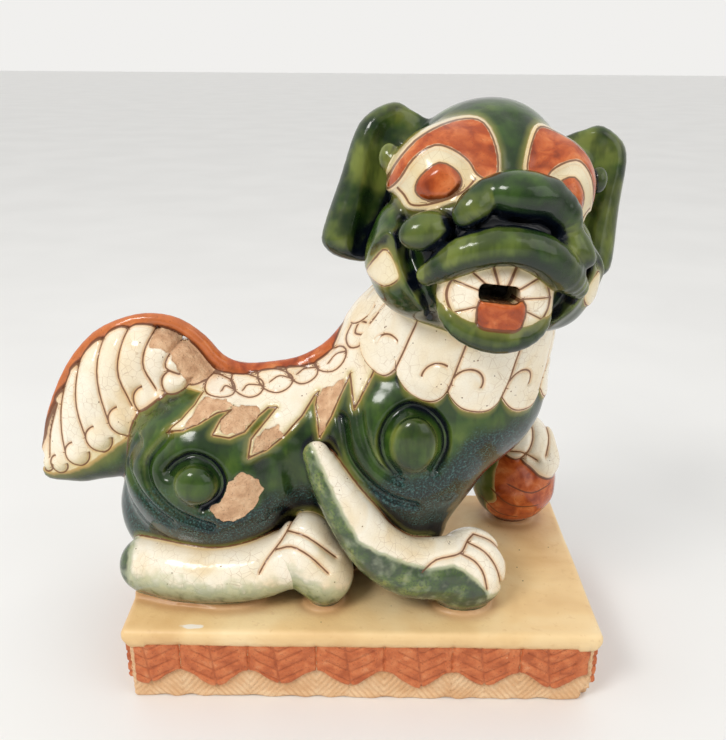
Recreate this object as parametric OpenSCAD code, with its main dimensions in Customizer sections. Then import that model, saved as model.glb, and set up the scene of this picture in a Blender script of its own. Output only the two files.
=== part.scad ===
// Guardian lion ("foo dog") figure in glazed stoneware, lying on a plinth with
// its head turned to the near side and its far forepaw on a ball.
// Every node is one clay component as the potter makes it: press-moulded
// shells, a slab-built plinth, and modelled pieces that are luted on with slip.
// Millimetres. X runs along the plinth towards the chest, -Y is the side the
// face looks to, Z is up, and the origin is the middle of the plinth's foot.

/* [Plinth] */
// Length of the top slab along X
plinth_w = 210; // [200:1:220]
// Depth of the top slab along Y
plinth_d = 126; // [120:1:132]
// Height of the whole plinth
plinth_h = 37; // [34:1:42]
// Thickness of the top slab
slab_t = 6.5; // [5:0.5:9]
// How far the slab stands proud of the walls
slab_overhang = 3; // [2:0.5:5]
// Thickness of the plinth walls
plinth_wall_t = 8; // [6:1:10]
// Radius of the slab's upright corners
slab_corner_r = 3; // [2:0.5:6]

/* [Petal relief] */
// Number of petals on each long wall
petals_long = 7; // [5:1:9]
// Number of petals on each short wall
petals_short = 4; // [3:1:6]
// Thickness of the relief
petal_t = 1.6; // [1:0.1:2.4]
// Height of the notches between petals above the foot
petal_root = 15.5; // [13:0.5:20]
// How far each petal hangs below the notches
petal_hang = 7.5; // [5:0.5:10]

/* [Shells] */
// Wall thickness of the hollow body and head
shell_t = 6.5; // [5:0.5:8]
// Length of the vent through the slab, under the body
vent_w = 100; // [60:1:110]
// Width of the vent through the slab
vent_d = 30; // [20:1:36]

/* [Head] */
// Turn of the face from -Y towards +X, in degrees
head_yaw = 3; // [-5:1:12]
// How far the face looks up, in degrees
head_lift = 8; // [0:1:14]
// Lean of the head to its own left, in degrees
head_roll = 6; // [0:1:10]
// Width of the slot in the mouth
mouth_w = 13; // [10:0.5:16]
// Height of the slot in the mouth
mouth_h = 5.5; // [4.5:0.5:7]

/* [Ball] */
// Radius of the ball under the far forepaw
ball_r = 22; // [20:0.5:24]

/* [Hidden] */

body_fn = 22;
trim_fn = 16;
leg_fn = 16;
big = 400;

glaze_green = [0.16, 0.30, 0.12];
glaze_cream = [0.90, 0.84, 0.70];
glaze_amber = [0.66, 0.27, 0.10];
bare_clay = [0.85, 0.69, 0.47];

wall_top = plinth_h - slab_t;
wall_w = plinth_w - 2 * slab_overhang;
wall_d = plinth_d - 2 * slab_overhang;
head_at = [47, -22, 205];

// Body masses as [x, y, z, r]
seat = [-86, 0, 67, 31];
rump = [-76, 0, 102, 33];
waist = [-32, 0, 103, 32];
back_dip = [-4, -1, 108, 32];
belly = [-12, 0, 62, 27];
chest = [20, -8, 100, 34];
breast = [42, -6, 135, 38];
nape = [24, -4, 148, 30];
neck = [44, -10, 166, 32];
elbow = [18, -12, 70, 24];

module at_ball(p, grow = 0, fn = body_fn) {
    translate([p[0], p[1], p[2]]) sphere(r = p[3] + grow, $fn = fn);
}

// Skin stretched over each pair of neighbouring balls
module chain(points, grow = 0, fn = trim_fn) {
    for (i = [0:len(points) - 2])
        hull() {
            at_ball(points[i], grow, fn);
            at_ball(points[i + 1], grow, fn);
        }
}

// Ellipsoid with half-axes r, turned by turn
module egg(c, r, turn = [0, 0, 0], fn = trim_fn) {
    hull() translate(c) rotate(turn) scale(r) sphere(r = 1, $fn = fn);
}

module above_plinth() {
    translate([-big / 2, -big / 2, plinth_h]) cube(big);
}

// side is -1 for the lion's right half (-Y) and 1 for its left half
module half_space(side) {
    translate([-big / 2, side > 0 ? 0 : -big, -big / 2]) cube(big);
}

module body_mass(grow = 0) {
    hull() for (p = [seat, rump, waist, belly]) at_ball(p, grow);
    hull() for (p = [waist, back_dip, belly]) at_ball(p, grow);
    hull() for (p = [belly, back_dip, chest, elbow]) at_ball(p, grow);
    hull() for (p = [back_dip, chest, nape]) at_ball(p, grow);
    hull() for (p = [chest, breast]) at_ball(p, grow);
    hull() for (p = [nape, breast, neck]) at_ball(p, grow);
}

// Haunch and shoulder swellings on one side
module limb_swellings(side, grow = 0) {
    egg([-68, side * 20, 94], [40 + grow, 28 + grow, 38 + grow], [0, 0, 0], body_fn);
    egg([18, side * 22 - 3, 114], [36 + grow, 25 + grow, 36 + grow], [0, 0, 0], body_fn);
}

module body_outer() {
    body_mass();
    limb_swellings(-1);
    limb_swellings(1);
}

module body_half(side) {
    color(glaze_green)
    difference() {
        intersection() {
            body_outer();
            half_space(side);
            above_plinth();
        }
        body_mass(-shell_t);
        head_room(0);
        translate([0, 0, plinth_h - 1])
            linear_extrude(height = 14) vent_outline();
    }
}

module vent_outline() {
    translate([-40, 0])
        hull() for (x = [-1, 1]) translate([x * (vent_w - vent_d) / 2, 0]) circle(d = vent_d, $fn = 32);
}

module rounded_rect(w, d, r) {
    square([w - 2 * r, d], center = true);
    square([w, d - 2 * r], center = true);
    for (x = [-1, 1], y = [-1, 1])
        translate([x * (w / 2 - r), y * (d / 2 - r)]) circle(r = r, $fn = 32);
}

module plinth_wall() {
    color(bare_clay)
    linear_extrude(height = wall_top)
        difference() {
            rounded_rect(wall_w, wall_d, slab_corner_r);
            square([wall_w - 2 * plinth_wall_t, wall_d - 2 * plinth_wall_t], center = true);
        }
}

module plinth_slab() {
    color(bare_clay)
    translate([0, 0, wall_top])
        linear_extrude(height = slab_t)
            difference() {
                rounded_rect(plinth_w, plinth_d, slab_corner_r);
                translate([-40, 0]) square([vent_w, vent_d], center = true);
            }
}

// A row of hanging petals along X, drawn in the wall's plane: a strip with one
// shallow arc hanging from it under each petal
module petal_row(length, count) {
    pitch = length / count;
    arc_r = (pow(pitch / 2, 2) + pow(petal_hang, 2)) / (2 * petal_hang);
    translate([-length / 2, petal_root]) square([length, wall_top - petal_root - 0.5]);
    for (i = [0:count - 1])
        intersection() {
            translate([(i + 0.5 - count / 2) * pitch, petal_root - petal_hang + arc_r])
                circle(r = arc_r, $fn = 64);
            translate([(i - count / 2) * pitch, petal_root - petal_hang])
                square([pitch, petal_hang + 1]);
        }
}

module petal_band(length, count, out, turn) {
    color(glaze_amber)
    rotate([0, 0, turn])
        translate([0, -out, 0]) rotate([90, 0, 0])
            linear_extrude(height = petal_t)
                petal_row(length, count);
}

module spine_ridge() {
    ridge = [
        [-152, 0, 90, 4], [-143, 0, 113, 4.5], [-132, 0, 133, 5], [-119, 0, 147, 5],
        [-107, 0, 153.5, 5], [-96, 0, 155.5, 5], [-86, 0, 153.5, 5], [-77, 0, 146, 5],
        [-69, 0, 136, 5], [-59, 0, 131, 5], [-46, 0, 131, 5], [-30, 0, 134, 5],
        [-17, 0, 141, 5], [-8, -1, 151, 5], [-2, -2, 160, 4.5], [3, -3, 167, 4]
    ];
    color(glaze_amber)
    difference() {
        chain(ridge, 0, 12);
        body_outer();
        tail_mass();
        collar_mass();
    }
}

module tail_mass() {
    hull() {
        at_ball([-150, 0, 84, 5], 0, 14);
        at_ball([-132, 0, 124, 11], 0, 18);
        at_ball([-112, 0, 139, 14], 0, 18);
        at_ball([-95, 0, 139, 17]);
        at_ball([-84, 0, 130, 18]);
        at_ball([-118, 0, 94, 13], 0, 18);
        at_ball([-84, 0, 112, 20]);
    }
}

module tail() {
    color(glaze_cream)
    difference() {
        tail_mass();
        body_outer();
    }
}

module collar_mass(grow = 0) {
    hull() {
        egg([44, -9, 162], [41 + grow, 38 + grow, 16 + grow], [8, -8, 0], 36);
        egg([39, -8, 146], [43 + grow, 41 + grow, 12 + grow], [6, -10, 0], 36);
    }
}

module mane_collar() {
    color(glaze_cream)
    difference() {
        collar_mass();
        body_outer();
        head_room(0);
        body_mass(-1);
    }
}

module curl(at, r) {
    color(glaze_green)
    difference() {
        egg(at, r);
        body_outer();
    }
}

hindleg = [[-97, -31, 51, 14], [-75, -37, 51, 14], [-52, -38, 52, 13.5], [-36, -37, 58, 13]];
foreleg = [[-20, -40, 112, 8], [-13, -43, 98, 10], [-3, -45, 82, 11], [8, -45, 66, 12],
    [22, -43, 57, 13], [38, -40, 56, 14]];
far_foreleg = [[34, 28, 112, 15], [50, 35, 100, 13], [66, 37, 90, 12.5]];

module leg(points, side = -1) {
    color(glaze_cream)
    mirror([0, side > 0 ? 1 : 0, 0])
        difference() {
            chain(points, 0, leg_fn);
            mirror([0, side > 0 ? 1 : 0, 0]) body_outer();
            translate([-big / 2, -big / 2, plinth_h - big]) cube(big);
        }
}

module hind_paw_mass() {
    hull() {
        egg([-26, -37, 63], [15, 14, 18]);
        egg([-17, -36, 52], [13, 15, 15]);
    }
}

module hind_paw(side) {
    color(glaze_cream)
    mirror([0, side > 0 ? 1 : 0, 0])
        difference() {
            hind_paw_mass();
            chain(hindleg, 0, leg_fn);
            chain(foreleg, 0, leg_fn);
            mirror([0, side > 0 ? 1 : 0, 0]) body_outer();
            translate([-big / 2, -big / 2, plinth_h - big]) cube(big);
        }
}

module right_fore_paw() {
    color(glaze_cream)
    difference() {
        hull() {
            egg([50, -33, 55], [17, 17, 17]);
            egg([46, -34, 50], [18, 17, 14]);
        }
        chain(foreleg, 0, leg_fn);
        body_outer();
        translate([-big / 2, -big / 2, plinth_h - big]) cube(big);
    }
}

ball_at = [80, 40, plinth_h + ball_r];

module ball() {
    color(glaze_amber) translate(ball_at) sphere(r = ball_r, $fn = 48);
}

module left_foreleg() {
    color(glaze_green)
    difference() {
        chain(far_foreleg, 0, leg_fn);
        body_outer();
        hull() translate(ball_at) sphere(r = ball_r, $fn = 28);
    }
}

module left_fore_paw() {
    color(glaze_cream)
    difference() {
        hull() {
            egg([84, 38, 84], [15, 16, 12]);
            egg([92, 34, 74], [10, 13, 10]);
        }
        chain(far_foreleg, 0, leg_fn);
        body_outer();
        hull() translate(ball_at) sphere(r = ball_r, $fn = 28);
    }
}

// The head is drawn in its own frame: x to the viewer's right, -y out of the
// face, z up, with the middle of the skull at the origin.
module in_head() {
    translate(head_at) rotate([-head_lift, head_roll, head_yaw]) children();
}

// side is -1 for the lion's right (the viewer's left) and 1 for its left
module head_mass(grow = 0) {
    hull() {
        translate([0, 2, 8]) scale([41 + grow, 43 + grow, 44 + grow]) sphere(r = 1, $fn = 24);
        translate([0, -8, -16]) scale([46 + grow, 36 + grow, 24 + grow]) sphere(r = 1, $fn = 20);
    }
    hull() {
        translate([0, -20, 2]) scale([38 + grow, 28 + grow, 24 + grow]) sphere(r = 1, $fn = 20);
        translate([0, -16, -24]) scale([34 + grow, 30 + grow, 20 + grow]) sphere(r = 1, $fn = 20);
    }
    for (side = [-1, 1])
        egg([side * 22, -22, 20], [17 + grow, 17 + grow, 17 + grow], [0, 0, 0], 14);
}

// The space the head takes out of the neck
module head_room(grow) {
    in_head() head_mass(grow);
}

module mouth_slot() {
    translate([0, -30, -19]) rotate([90, 0, 0])
        linear_extrude(height = 60, center = true)
            square([mouth_w, mouth_h], center = true);
}

module head_shell(front) {
    color(glaze_green)
    in_head()
        difference() {
            intersection() {
                head_mass();
                translate([-big / 2, front ? -big + 4 : 4, -big / 2]) cube(big);
            }
            head_mass(-shell_t);
            mouth_slot();
            translate([-18, 0, -60]) cube([36, 30, 40]);
        }
}

module on_head(tint) {
    color(tint)
    in_head()
        difference() {
            children();
            head_mass();
        }
}

module ear(side) {
    on_head(glaze_green) {
        hull() {
            at_ball([side * 37, 6, 37, 8], 0, trim_fn);
            at_ball([side * 50, 4, 31, 9], 0, trim_fn);
        }
        hull() {
            at_ball([side * 50, 4, 31, 9], 0, trim_fn);
            at_ball([side * 47, 2, 8, 6], 0, 12);
            at_ball([side * 58, -2, 6, 6], 0, 12);
            at_ball([side * 45, 4, -10, 5], 0, 12);
            at_ball([side * 58, 0, -8, 5.5], 0, 12);
        }
    }
}

module eye_mass(side) {
    egg([side * 26, -31, 17], [13.5, 10, 11.5]);
}

module eye(side) {
    on_head(glaze_cream)
        difference() {
            eye_mass(side);
            pupil_mass(side);
        }
}

module pupil_mass(side) {
    egg([side * 26, -40, 16], [6.5, 4, 6], [0, 0, 0], 14);
}

module pupil(side) {
    on_head(glaze_amber) pupil_mass(side);
}

module brow_mass(side) {
    chain([[side * 40, -20, 20, 4], [side * 35, -27, 29, 5], [side * 25, -31, 34, 6],
        [side * 13, -35, 32, 6], [side * 9, -38, 24, 4.5]], 0, 12);
}

module brow(side) {
    on_head(glaze_amber)
        difference() {
            brow_mass(side);
            eye_mass(side);
        }
}

module nose_mass() {
    egg([0, -46, 14], [17, 11, 9]);
    for (side = [-1, 1]) egg([side * 18, -42, 10], [8, 8, 7], [0, 0, 0], 14);
}

module nose() {
    on_head(glaze_green)
        difference() {
            nose_mass();
            for (side = [-1, 1]) brow_mass(side);
            for (side = [-1, 1]) eye_mass(side);
        }
}

module muzzle_pad_mass(side) {
    egg([side * 32, -36, 2], [9, 8, 6.5], [0, side * 25, 0], 14);
}

module muzzle_pad(side) {
    on_head(glaze_green)
        difference() {
            muzzle_pad_mass(side);
            nose_mass();
            eye_mass(side);
        }
}

lip_arc = [[-33, -33, -14, 6], [-23, -43, -7, 7], [-9, -49, -3, 8], [9, -49, -3, 8],
    [23, -43, -7, 7], [33, -33, -14, 6]];

module upper_lip() {
    on_head(glaze_green)
        difference() {
            chain(lip_arc, 0, 14);
            nose_mass();
            for (side = [-1, 1]) muzzle_pad_mass(side);
        }
}

module teeth_mass() {
    egg([0, -40, -20], [20, 11, 12.5]);
}

module tongue_mass() {
    egg([0, -48, -27], [9, 5, 4.5], [0, 0, 0], 14);
}

module teeth_ring() {
    on_head(glaze_cream)
        difference() {
            teeth_mass();
            chain(lip_arc, 0, 14);
            mouth_slot();
            tongue_mass();
        }
}

module tongue() {
    on_head(glaze_amber)
        difference() {
            tongue_mass();
            mouth_slot();
        }
}

lower_arc = [[-25, -38, -23, 5], [-17, -43, -32, 6], [0, -45, -35, 6.5], [17, -43, -32, 6],
    [25, -38, -23, 5]];

module lower_lip() {
    on_head(glaze_green)
        difference() {
            chain(lower_arc, 0, 12);
            teeth_mass();
            tongue_mass();
            chain(lip_arc, 0, 14);
        }
}

module fang(side) {
    on_head(glaze_cream)
        difference() {
            egg([side * 42, -21, -15], [6, 6, 9], [0, side * -20, 0], 12);
            chain(lip_arc, 0, 14);
        }
}

plinth_wall();
plinth_slab();
petal_band(wall_w - 10, petals_long, wall_d / 2, 0);  // petal_band_front
petal_band(wall_w - 10, petals_long, wall_d / 2, 180);  // petal_band_back
petal_band(wall_d - 8, petals_short, wall_w / 2, 90);  // petal_band_left
petal_band(wall_d - 8, petals_short, wall_w / 2, -90);  // petal_band_right
body_half(-1);  // body_right_half
body_half(1);  // body_left_half
spine_ridge();
tail();
mane_collar();
curl([-70, -46, 97], [13, 7, 13]);  // right_haunch_curl
curl([-70, 46, 97], [13, 7, 13]);  // left_haunch_curl
curl([22, -46, 120], [11, 7, 16]);  // right_shoulder_curl
curl([22, 42, 120], [11, 7, 16]);  // left_shoulder_curl
leg(hindleg, -1);  // right_hindleg
leg(hindleg, 1);  // left_hindleg
hind_paw(-1);  // right_hind_paw
hind_paw(1);  // left_hind_paw
leg(foreleg, -1);  // right_foreleg
left_foreleg();
right_fore_paw();
left_fore_paw();
ball();
head_shell(true);  // head_front_shell
head_shell(false);  // head_back_shell
ear(-1);  // right_ear
ear(1);  // left_ear
eye(-1);  // right_eye
eye(1);  // left_eye
pupil(-1);  // right_pupil
pupil(1);  // left_pupil
brow(-1);  // right_brow
brow(1);  // left_brow
nose();
muzzle_pad(-1);  // right_muzzle_pad
muzzle_pad(1);  // left_muzzle_pad
upper_lip();
lower_lip();
teeth_ring();
tongue();
fang(-1);  // right_fang
fang(1);  // left_fang
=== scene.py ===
"""Looks for the foo dog statue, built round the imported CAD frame.

The clay is sculpted as distance fields in millimetres, in the same frame as the
CAD. Each field is a soft union of simple masses with grooves cut into it. Every
clay component gets its own closed mesh, where its field is the nearest one, so
neighbours meet exactly and the joints are filleted as luted clay is. Distances to
incised lines, glaze borders and chips are kept as vertex attributes, and the
materials turn them into crisp lines and glaze edges. Lengths are in millimetres
until a mesh is made.
"""
import functools
import math
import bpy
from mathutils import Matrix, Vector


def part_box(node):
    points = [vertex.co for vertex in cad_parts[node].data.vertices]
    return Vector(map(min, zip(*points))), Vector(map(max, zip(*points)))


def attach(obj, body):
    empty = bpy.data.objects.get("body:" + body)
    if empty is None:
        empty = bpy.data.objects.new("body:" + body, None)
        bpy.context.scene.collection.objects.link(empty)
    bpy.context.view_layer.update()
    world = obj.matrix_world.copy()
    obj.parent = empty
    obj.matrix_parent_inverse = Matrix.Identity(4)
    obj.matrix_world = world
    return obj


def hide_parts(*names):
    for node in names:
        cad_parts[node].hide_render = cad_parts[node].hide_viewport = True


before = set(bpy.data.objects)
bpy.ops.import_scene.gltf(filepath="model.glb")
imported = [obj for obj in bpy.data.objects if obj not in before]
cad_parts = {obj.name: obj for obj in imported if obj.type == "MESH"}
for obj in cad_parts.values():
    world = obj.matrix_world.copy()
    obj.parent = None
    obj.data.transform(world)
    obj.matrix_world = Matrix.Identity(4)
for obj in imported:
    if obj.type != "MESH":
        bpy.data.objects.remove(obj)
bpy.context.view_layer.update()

from concurrent.futures import ThreadPoolExecutor

import bpy
import numpy as np
import openvdb
from mathutils import Matrix, Vector

MM = 0.001
VOXEL = 0.7
# A distance that stands for "nowhere near"
FAR = 60.0
# How softly neighbouring pieces join, and how far each runs under the others
SEAM_SOFT = 1.1
TUCK = 3.0
TUCK_SLOPE = 0.3
WORKERS = 4
BATCH = 300000

GREEN = "green_glaze"
CREAM = "cream_glaze"
AMBER = "amber_glaze"
PETAL = "petal_glaze"
BUFF = "buff_glaze"
BARE = "bare_clay"


# ---------------------------------------------------------------- measures

def box_mm(node):
    """Lowest and highest corner of a CAD node, in millimetres."""
    low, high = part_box(node)
    return np.array(low) / MM, np.array(high) / MM


slab_low, slab_high = box_mm("plinth_slab")
wall_low, wall_high = box_mm("plinth_wall")
ball_low, ball_high = box_mm("ball")
petal_low, petal_high = box_mm("petal_band_front")
SLAB_TOP = slab_high[2]
BALL_AT = (ball_low + ball_high) / 2
BALL_R = (ball_high[2] - ball_low[2]) / 2

head_low = np.minimum(box_mm("head_front_shell")[0], box_mm("head_back_shell")[0])
head_high = np.maximum(box_mm("head_front_shell")[1], box_mm("head_back_shell")[1])
HEAD_AT = (head_low + head_high) / 2 + np.array([1.0, 1.4, -4.9])
HEAD_LIFT = math.radians(8)
HEAD_ROLL = math.radians(6)
HEAD_YAW = math.radians(3)
FACE_X = 1.0
EAR_X = -1.0
# The raised parts of the face end here, in front of the ears
FACE_BACK = -13.0
# The head's left side is narrower, from a little left of its middle, and less so at the cheeks
NARROW_FROM = 4.0
NARROWER = 0.22
NARROWER_CHEEKS = 0.15


# ---------------------------------------------------------- distance fields

def norm(v):
    """Length of each row."""
    return np.sqrt(np.einsum("ij,ij->i", v, v))


def ball(p, at, r):
    return norm(p - np.asarray(at, p.dtype)) - r


def egg(p, at, r, turn=None):
    """Ellipsoid with half-axes r. turn is a 3x3 matrix whose columns are its axes."""
    q = p - np.asarray(at, p.dtype)
    if turn is not None:
        q = q @ np.asarray(turn, p.dtype)
    r = np.asarray(r, p.dtype)
    near = norm(q / r)
    return near * (near - 1) / np.maximum(norm(q / (r * r)), 1e-6)


def cone(p, a, b):
    """Round-ended cone between two balls given as (x, y, z, r)."""
    a = np.asarray(a, p.dtype)
    b = np.asarray(b, p.dtype)
    run = b[:3] - a[:3]
    q = p - a[:3]
    t = np.clip(q @ run / max(float(run @ run), 1e-9), 0, 1)
    return norm(q - t[:, None] * run) - (a[3] + t * (b[3] - a[3]))


@functools.lru_cache(maxsize=None)
def curve(knots, per_span, closed):
    """Points on a Catmull-Rom curve through a tuple of knots."""
    k = np.array(knots, float)
    if closed:
        k = np.vstack([k[-1], k, k[0], k[1]])
    else:
        k = np.vstack([2 * k[0] - k[1], k, 2 * k[-1] - k[-2]])
    out = []
    for i in range(1, len(k) - 2):
        a, b, c, d = k[i - 1:i + 3]
        for t in np.arange(per_span) / per_span:
            out.append(0.5 * (2 * b + (c - a) * t + (2 * a - 5 * b + 4 * c - d) * t * t
                              + (3 * b - a - 3 * c + d) * t ** 3))
    if not closed:
        out.append(k[-2])
    return np.array(out)


def smooth(knots, per_span=4, closed=False):
    """Points on a smooth curve through a list of knots, worked out once."""
    return curve(tuple(tuple(k) for k in knots), per_span, closed)


def outline(*knots):
    return smooth(knots, 3, True)


def tube(p, knots, per_span=3):
    """Round tube of changing radius through knots (x, y, z, r)."""
    path = smooth(knots, per_span)
    d = np.full(len(p), FAR, p.dtype)
    for a, b in zip(path[:-1], path[1:]):
        d = np.minimum(d, cone(p, a, b))
    return d


def soft_min(fields, k):
    """Union whose joints are rounded over about 2k."""
    out = fields[0]
    for f in fields[1:]:
        h = np.maximum(k - np.abs(out - f), 0) / k
        out = np.minimum(out, f) - h * h * k / 4
    return out


def soft_max(a, b, k):
    """What two fields share, with its edge rounded over about 2k."""
    return -soft_min([-a, -b], k)


def curve_offset(q, points):
    """Distance from 2-D points q to an open polyline, with its sign telling the side."""
    d = np.full(len(q), FAR * FAR, q.dtype)
    side = np.zeros(len(q), q.dtype)
    for a, b in zip(points[:-1], points[1:]):
        run = (b - a).astype(q.dtype)
        w = q - a.astype(q.dtype)
        t = np.clip(w @ run / max(float(run @ run), 1e-9), 0, 1)
        v = w - t[:, None] * run
        size = v[:, 0] ** 2 + v[:, 1] ** 2
        closer = size < d
        d = np.where(closer, size, d)
        side = np.where(closer, run[0] * w[:, 1] - run[1] * w[:, 0], side)
    return np.where(side < 0, -1, 1) * np.sqrt(d)


def curve_distance(q, points):
    """Plain distance from 2-D points q to an open polyline."""
    return np.abs(curve_offset(q, points))


def nearer(a, b):
    """Whichever signed distance is the closer to zero."""
    return np.where(np.abs(a) < np.abs(b), a, b)


def lines_distance(q, lines):
    """Signed distance from 2-D points q to the nearest of several smooth open lines."""
    return functools.reduce(nearer, [curve_offset(q, smooth(line, 3)) for line in lines])


def inside_distance(q, points):
    """Signed distance to a closed 2-D outline, negative inside."""
    points = np.asarray(points, float)
    loop = np.vstack([points, points[:1]])
    d = curve_distance(q, loop)
    inside = np.zeros(len(q), bool)
    for a, b in zip(loop[:-1], loop[1:]):
        crosses = (a[1] > q[:, 1]) != (b[1] > q[:, 1])
        slope = (b[0] - a[0]) / (b[1] - a[1]) if b[1] != a[1] else 0.0
        inside ^= crosses & (q[:, 0] < a[0] + (q[:, 1] - a[1]) * slope)
    return np.where(inside, -d, d)


def groove(distance, depth, width):
    """How far a groove sinks the surface at that distance from its line."""
    return depth * np.exp(-(distance / width) ** 2)


def step(value, start, end):
    """0 at start, 1 at end, easing between."""
    t = np.clip((value - start) / (end - start), 0, 1)
    return t * t * (3 - 2 * t)


@functools.lru_cache(maxsize=None)
def waves(size, seed):
    """Seven plane waves of about that length, as wave vectors and phases."""
    rng = np.random.RandomState(seed)
    ways = []
    for _ in range(7):
        way = rng.normal(size=3)
        way *= 2 * math.pi / (size * rng.uniform(0.7, 1.6) * np.linalg.norm(way))
        ways.append((way, rng.uniform(0, 2 * math.pi)))
    return ways


def wobble(p, size, seed):
    """Smooth hand-made unevenness between about -1 and 1, over that size in mm."""
    out = np.zeros(len(p), p.dtype)
    for way, phase in waves(size, seed):
        out += np.sin(p @ way.astype(p.dtype) + phase)
    return out / 3.5


# ------------------------------------------------------------------ frames

def head_turn():
    """Columns are the head's right, back and up, as the CAD turns them."""
    turn = Matrix.Rotation(HEAD_YAW, 3, "Z") @ Matrix.Rotation(HEAD_ROLL, 3, "Y")
    return np.array(turn @ Matrix.Rotation(-HEAD_LIFT, 3, "X"))


HEAD_TURN = head_turn()


def in_row(p):
    return p


def in_head(p):
    """Row-frame points in the head's own frame: x right, y back, z up."""
    return (p - HEAD_AT.astype(p.dtype)) @ HEAD_TURN.astype(p.dtype)


def flip(p):
    """The mirrored point on the other side of the spine."""
    return p * np.array([1, -1, 1], p.dtype)


OBLIQUE_UP = 0.82
OBLIQUE_OUT = 0.57


def oblique(p):
    """The side seen from a little above, which takes in back, flank and legs alike."""
    return np.stack([p[:, 0], OBLIQUE_UP * p[:, 2] - OBLIQUE_OUT * np.abs(p[:, 1])], 1)


def from_side(p):
    """Points as (x, z), seen square on from the statue's right side."""
    return p[:, [0, 2]]


# -------------------------------------------------------------------- body

SEAT = (-86, 0, 67, 29)
RUMP = (-76, 0, 102, 31)
WAIST = (-32, 0, 103, 31)
BACK = (-4, -1, 108, 30)
BELLY = (-12, 0, 62, 25)
ELBOW = (16, -10, 68, 22)
CHEST = (20, -8, 100, 32)
BREAST = (42, -6, 133, 36)
NAPE = (22, -4, 147, 29)
NECK = (42, -9, 164, 33)
TRUNK_LINKS = [
    (SEAT, RUMP), (RUMP, WAIST), (WAIST, BACK), (SEAT, BELLY), (WAIST, BELLY), (BACK, CHEST),
    (BELLY, ELBOW), (ELBOW, CHEST), (CHEST, BREAST), (BACK, NAPE), (NAPE, BREAST), (BREAST, NECK),
    (NAPE, NECK),
]


def trunk(p):
    return soft_min([cone(p, a, b) for a, b in TRUNK_LINKS], 9)


def haunch(p):
    return egg(p, (-68, -20, 93), (40, 28, 38))


def shoulder(p):
    return egg(p, (18, -24, 113), (36, 25, 37))


# Carved arcs on the flank, as (x, z) seen from the side, each with its depth and width
HAUNCH_RING = [(-83, 104), (-79, 108), (-72, 111), (-64, 108), (-60, 101), (-62, 94), (-69, 89)]
HAUNCH_ARC = [(-83, 118), (-92, 107), (-92, 98), (-86, 90), (-78, 84), (-66, 79)]
HAUNCH_BACK_ARC = [(-98, 112), (-104, 102), (-99, 93), (-92, 86), (-84, 80)]
SHOULDER_RING = [(14, 106), (9, 114), (8, 123), (12, 131), (19, 135), (27, 133), (33, 126), (34, 117),
                 (30, 108)]
SHOULDER_ARC = [(-9, 126), (-6, 112), (1, 102), (10, 94), (22, 89)]
SHOULDER_INNER_ARC = [(-2, 135), (0, 122), (6, 110), (16, 103)]
FLANK_ARCS = [
    (HAUNCH_RING, 3.4, 2.4), (HAUNCH_ARC, 2.6, 2.2), (HAUNCH_BACK_ARC, 1.8, 2.4),
    (SHOULDER_RING, 3.4, 2.4), (SHOULDER_ARC, 2.8, 2.4), (SHOULDER_INNER_ARC, 2.2, 2.4),
]
RIB_FOLDS = [[(-42, 104), (-40, 90), (-36, 78)], [(-31, 112), (-30, 96), (-26, 84)],
             [(-20, 106), (-20, 92), (-17, 80)]]

# The flame-shaped border of the cream back, seen obliquely, from tail to collar
FLAME = [(-71, 97), (-73, 90), (-78, 83), (-84, 78), (-77, 78), (-70, 81), (-63, 86), (-57, 88),
         (-61, 83), (-64, 76), (-57, 75), (-51, 78), (-46, 86), (-42, 90), (-38, 90), (-43, 83),
         (-48, 75), (-49, 67), (-42, 71), (-34, 78), (-27, 86), (-22, 95), (-20, 97), (-21, 91),
         (-20, 84), (-19, 77), (-14, 85), (-10, 94), (-6, 103), (-5, 95), (-4, 87), (0, 94), (4, 102)]
CAPE = FLAME + [(9, 104), (14, 145), (-98, 145), (-80, 100)]
BACK_LOBES = [
    [(-69, 108), (-71, 101), (-69, 96), (-63, 94), (-58, 96), (-58, 101), (-61, 105)],
    [(-59, 109), (-60, 104), (-57, 98), (-51, 95), (-46, 97), (-45, 102), (-49, 106)],
    [(-47, 111), (-48, 105), (-44, 99), (-38, 97), (-33, 100), (-32, 105), (-37, 109)],
    [(-35, 115), (-35, 108), (-30, 102), (-25, 102), (-21, 106), (-22, 112), (-28, 115)],
    [(-21, 118), (-23, 113), (-20, 108), (-14, 106), (-9, 109), (-8, 114), (-13, 118)],
    [(5, 129), (-1, 128), (-6, 124), (-8, 119), (-6, 114), (-1, 114), (3, 120)],
]
LOBE_HOOKS = [
    [(-58, 99), (-62, 101), (-63, 98)], [(-45, 101), (-52, 102), (-54, 99)],
    [(-32, 104), (-38, 106), (-42, 103)], [(-21, 110), (-27, 110), (-30, 107)],
    [(-8, 113), (-13, 114), (-16, 111)], [(3, 122), (-2, 124), (-4, 120), (-1, 118)],
]
BARE_FLAMES = [
    [(-72, 90), (-69, 94), (-60, 93), (-57, 90), (-63, 85), (-68, 82), (-76, 79)],
    [(-57, 90), (-47, 91), (-44, 88), (-51, 79), (-57, 76), (-62, 78), (-60, 84)],
    [(-48, 68), (-48, 73), (-43, 80), (-37, 82), (-35, 78), (-41, 72)],
    [(-18, 98), (-9, 101), (-9, 94), (-15, 84), (-19, 78), (-21, 87), (-20, 94)],
]
HAUNCH_CHIP = [(-51, 61), (-46, 60), (-43, 55), (-46, 49), (-49, 45), (-56, 41), (-63, 42), (-65, 46),
               (-60, 51), (-57, 57)]


def body_lines(p):
    """Signed distance to the flame border, the lobes along the back and their hooks."""
    q = oblique(p)
    flame = curve_offset(q, np.array(FLAME, float))
    lobes = [inside_distance(q, smooth(lobe, 3, True)) for lobe in BACK_LOBES]
    return functools.reduce(nearer, [flame, lines_distance(q, LOBE_HOOKS)] + lobes)


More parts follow.
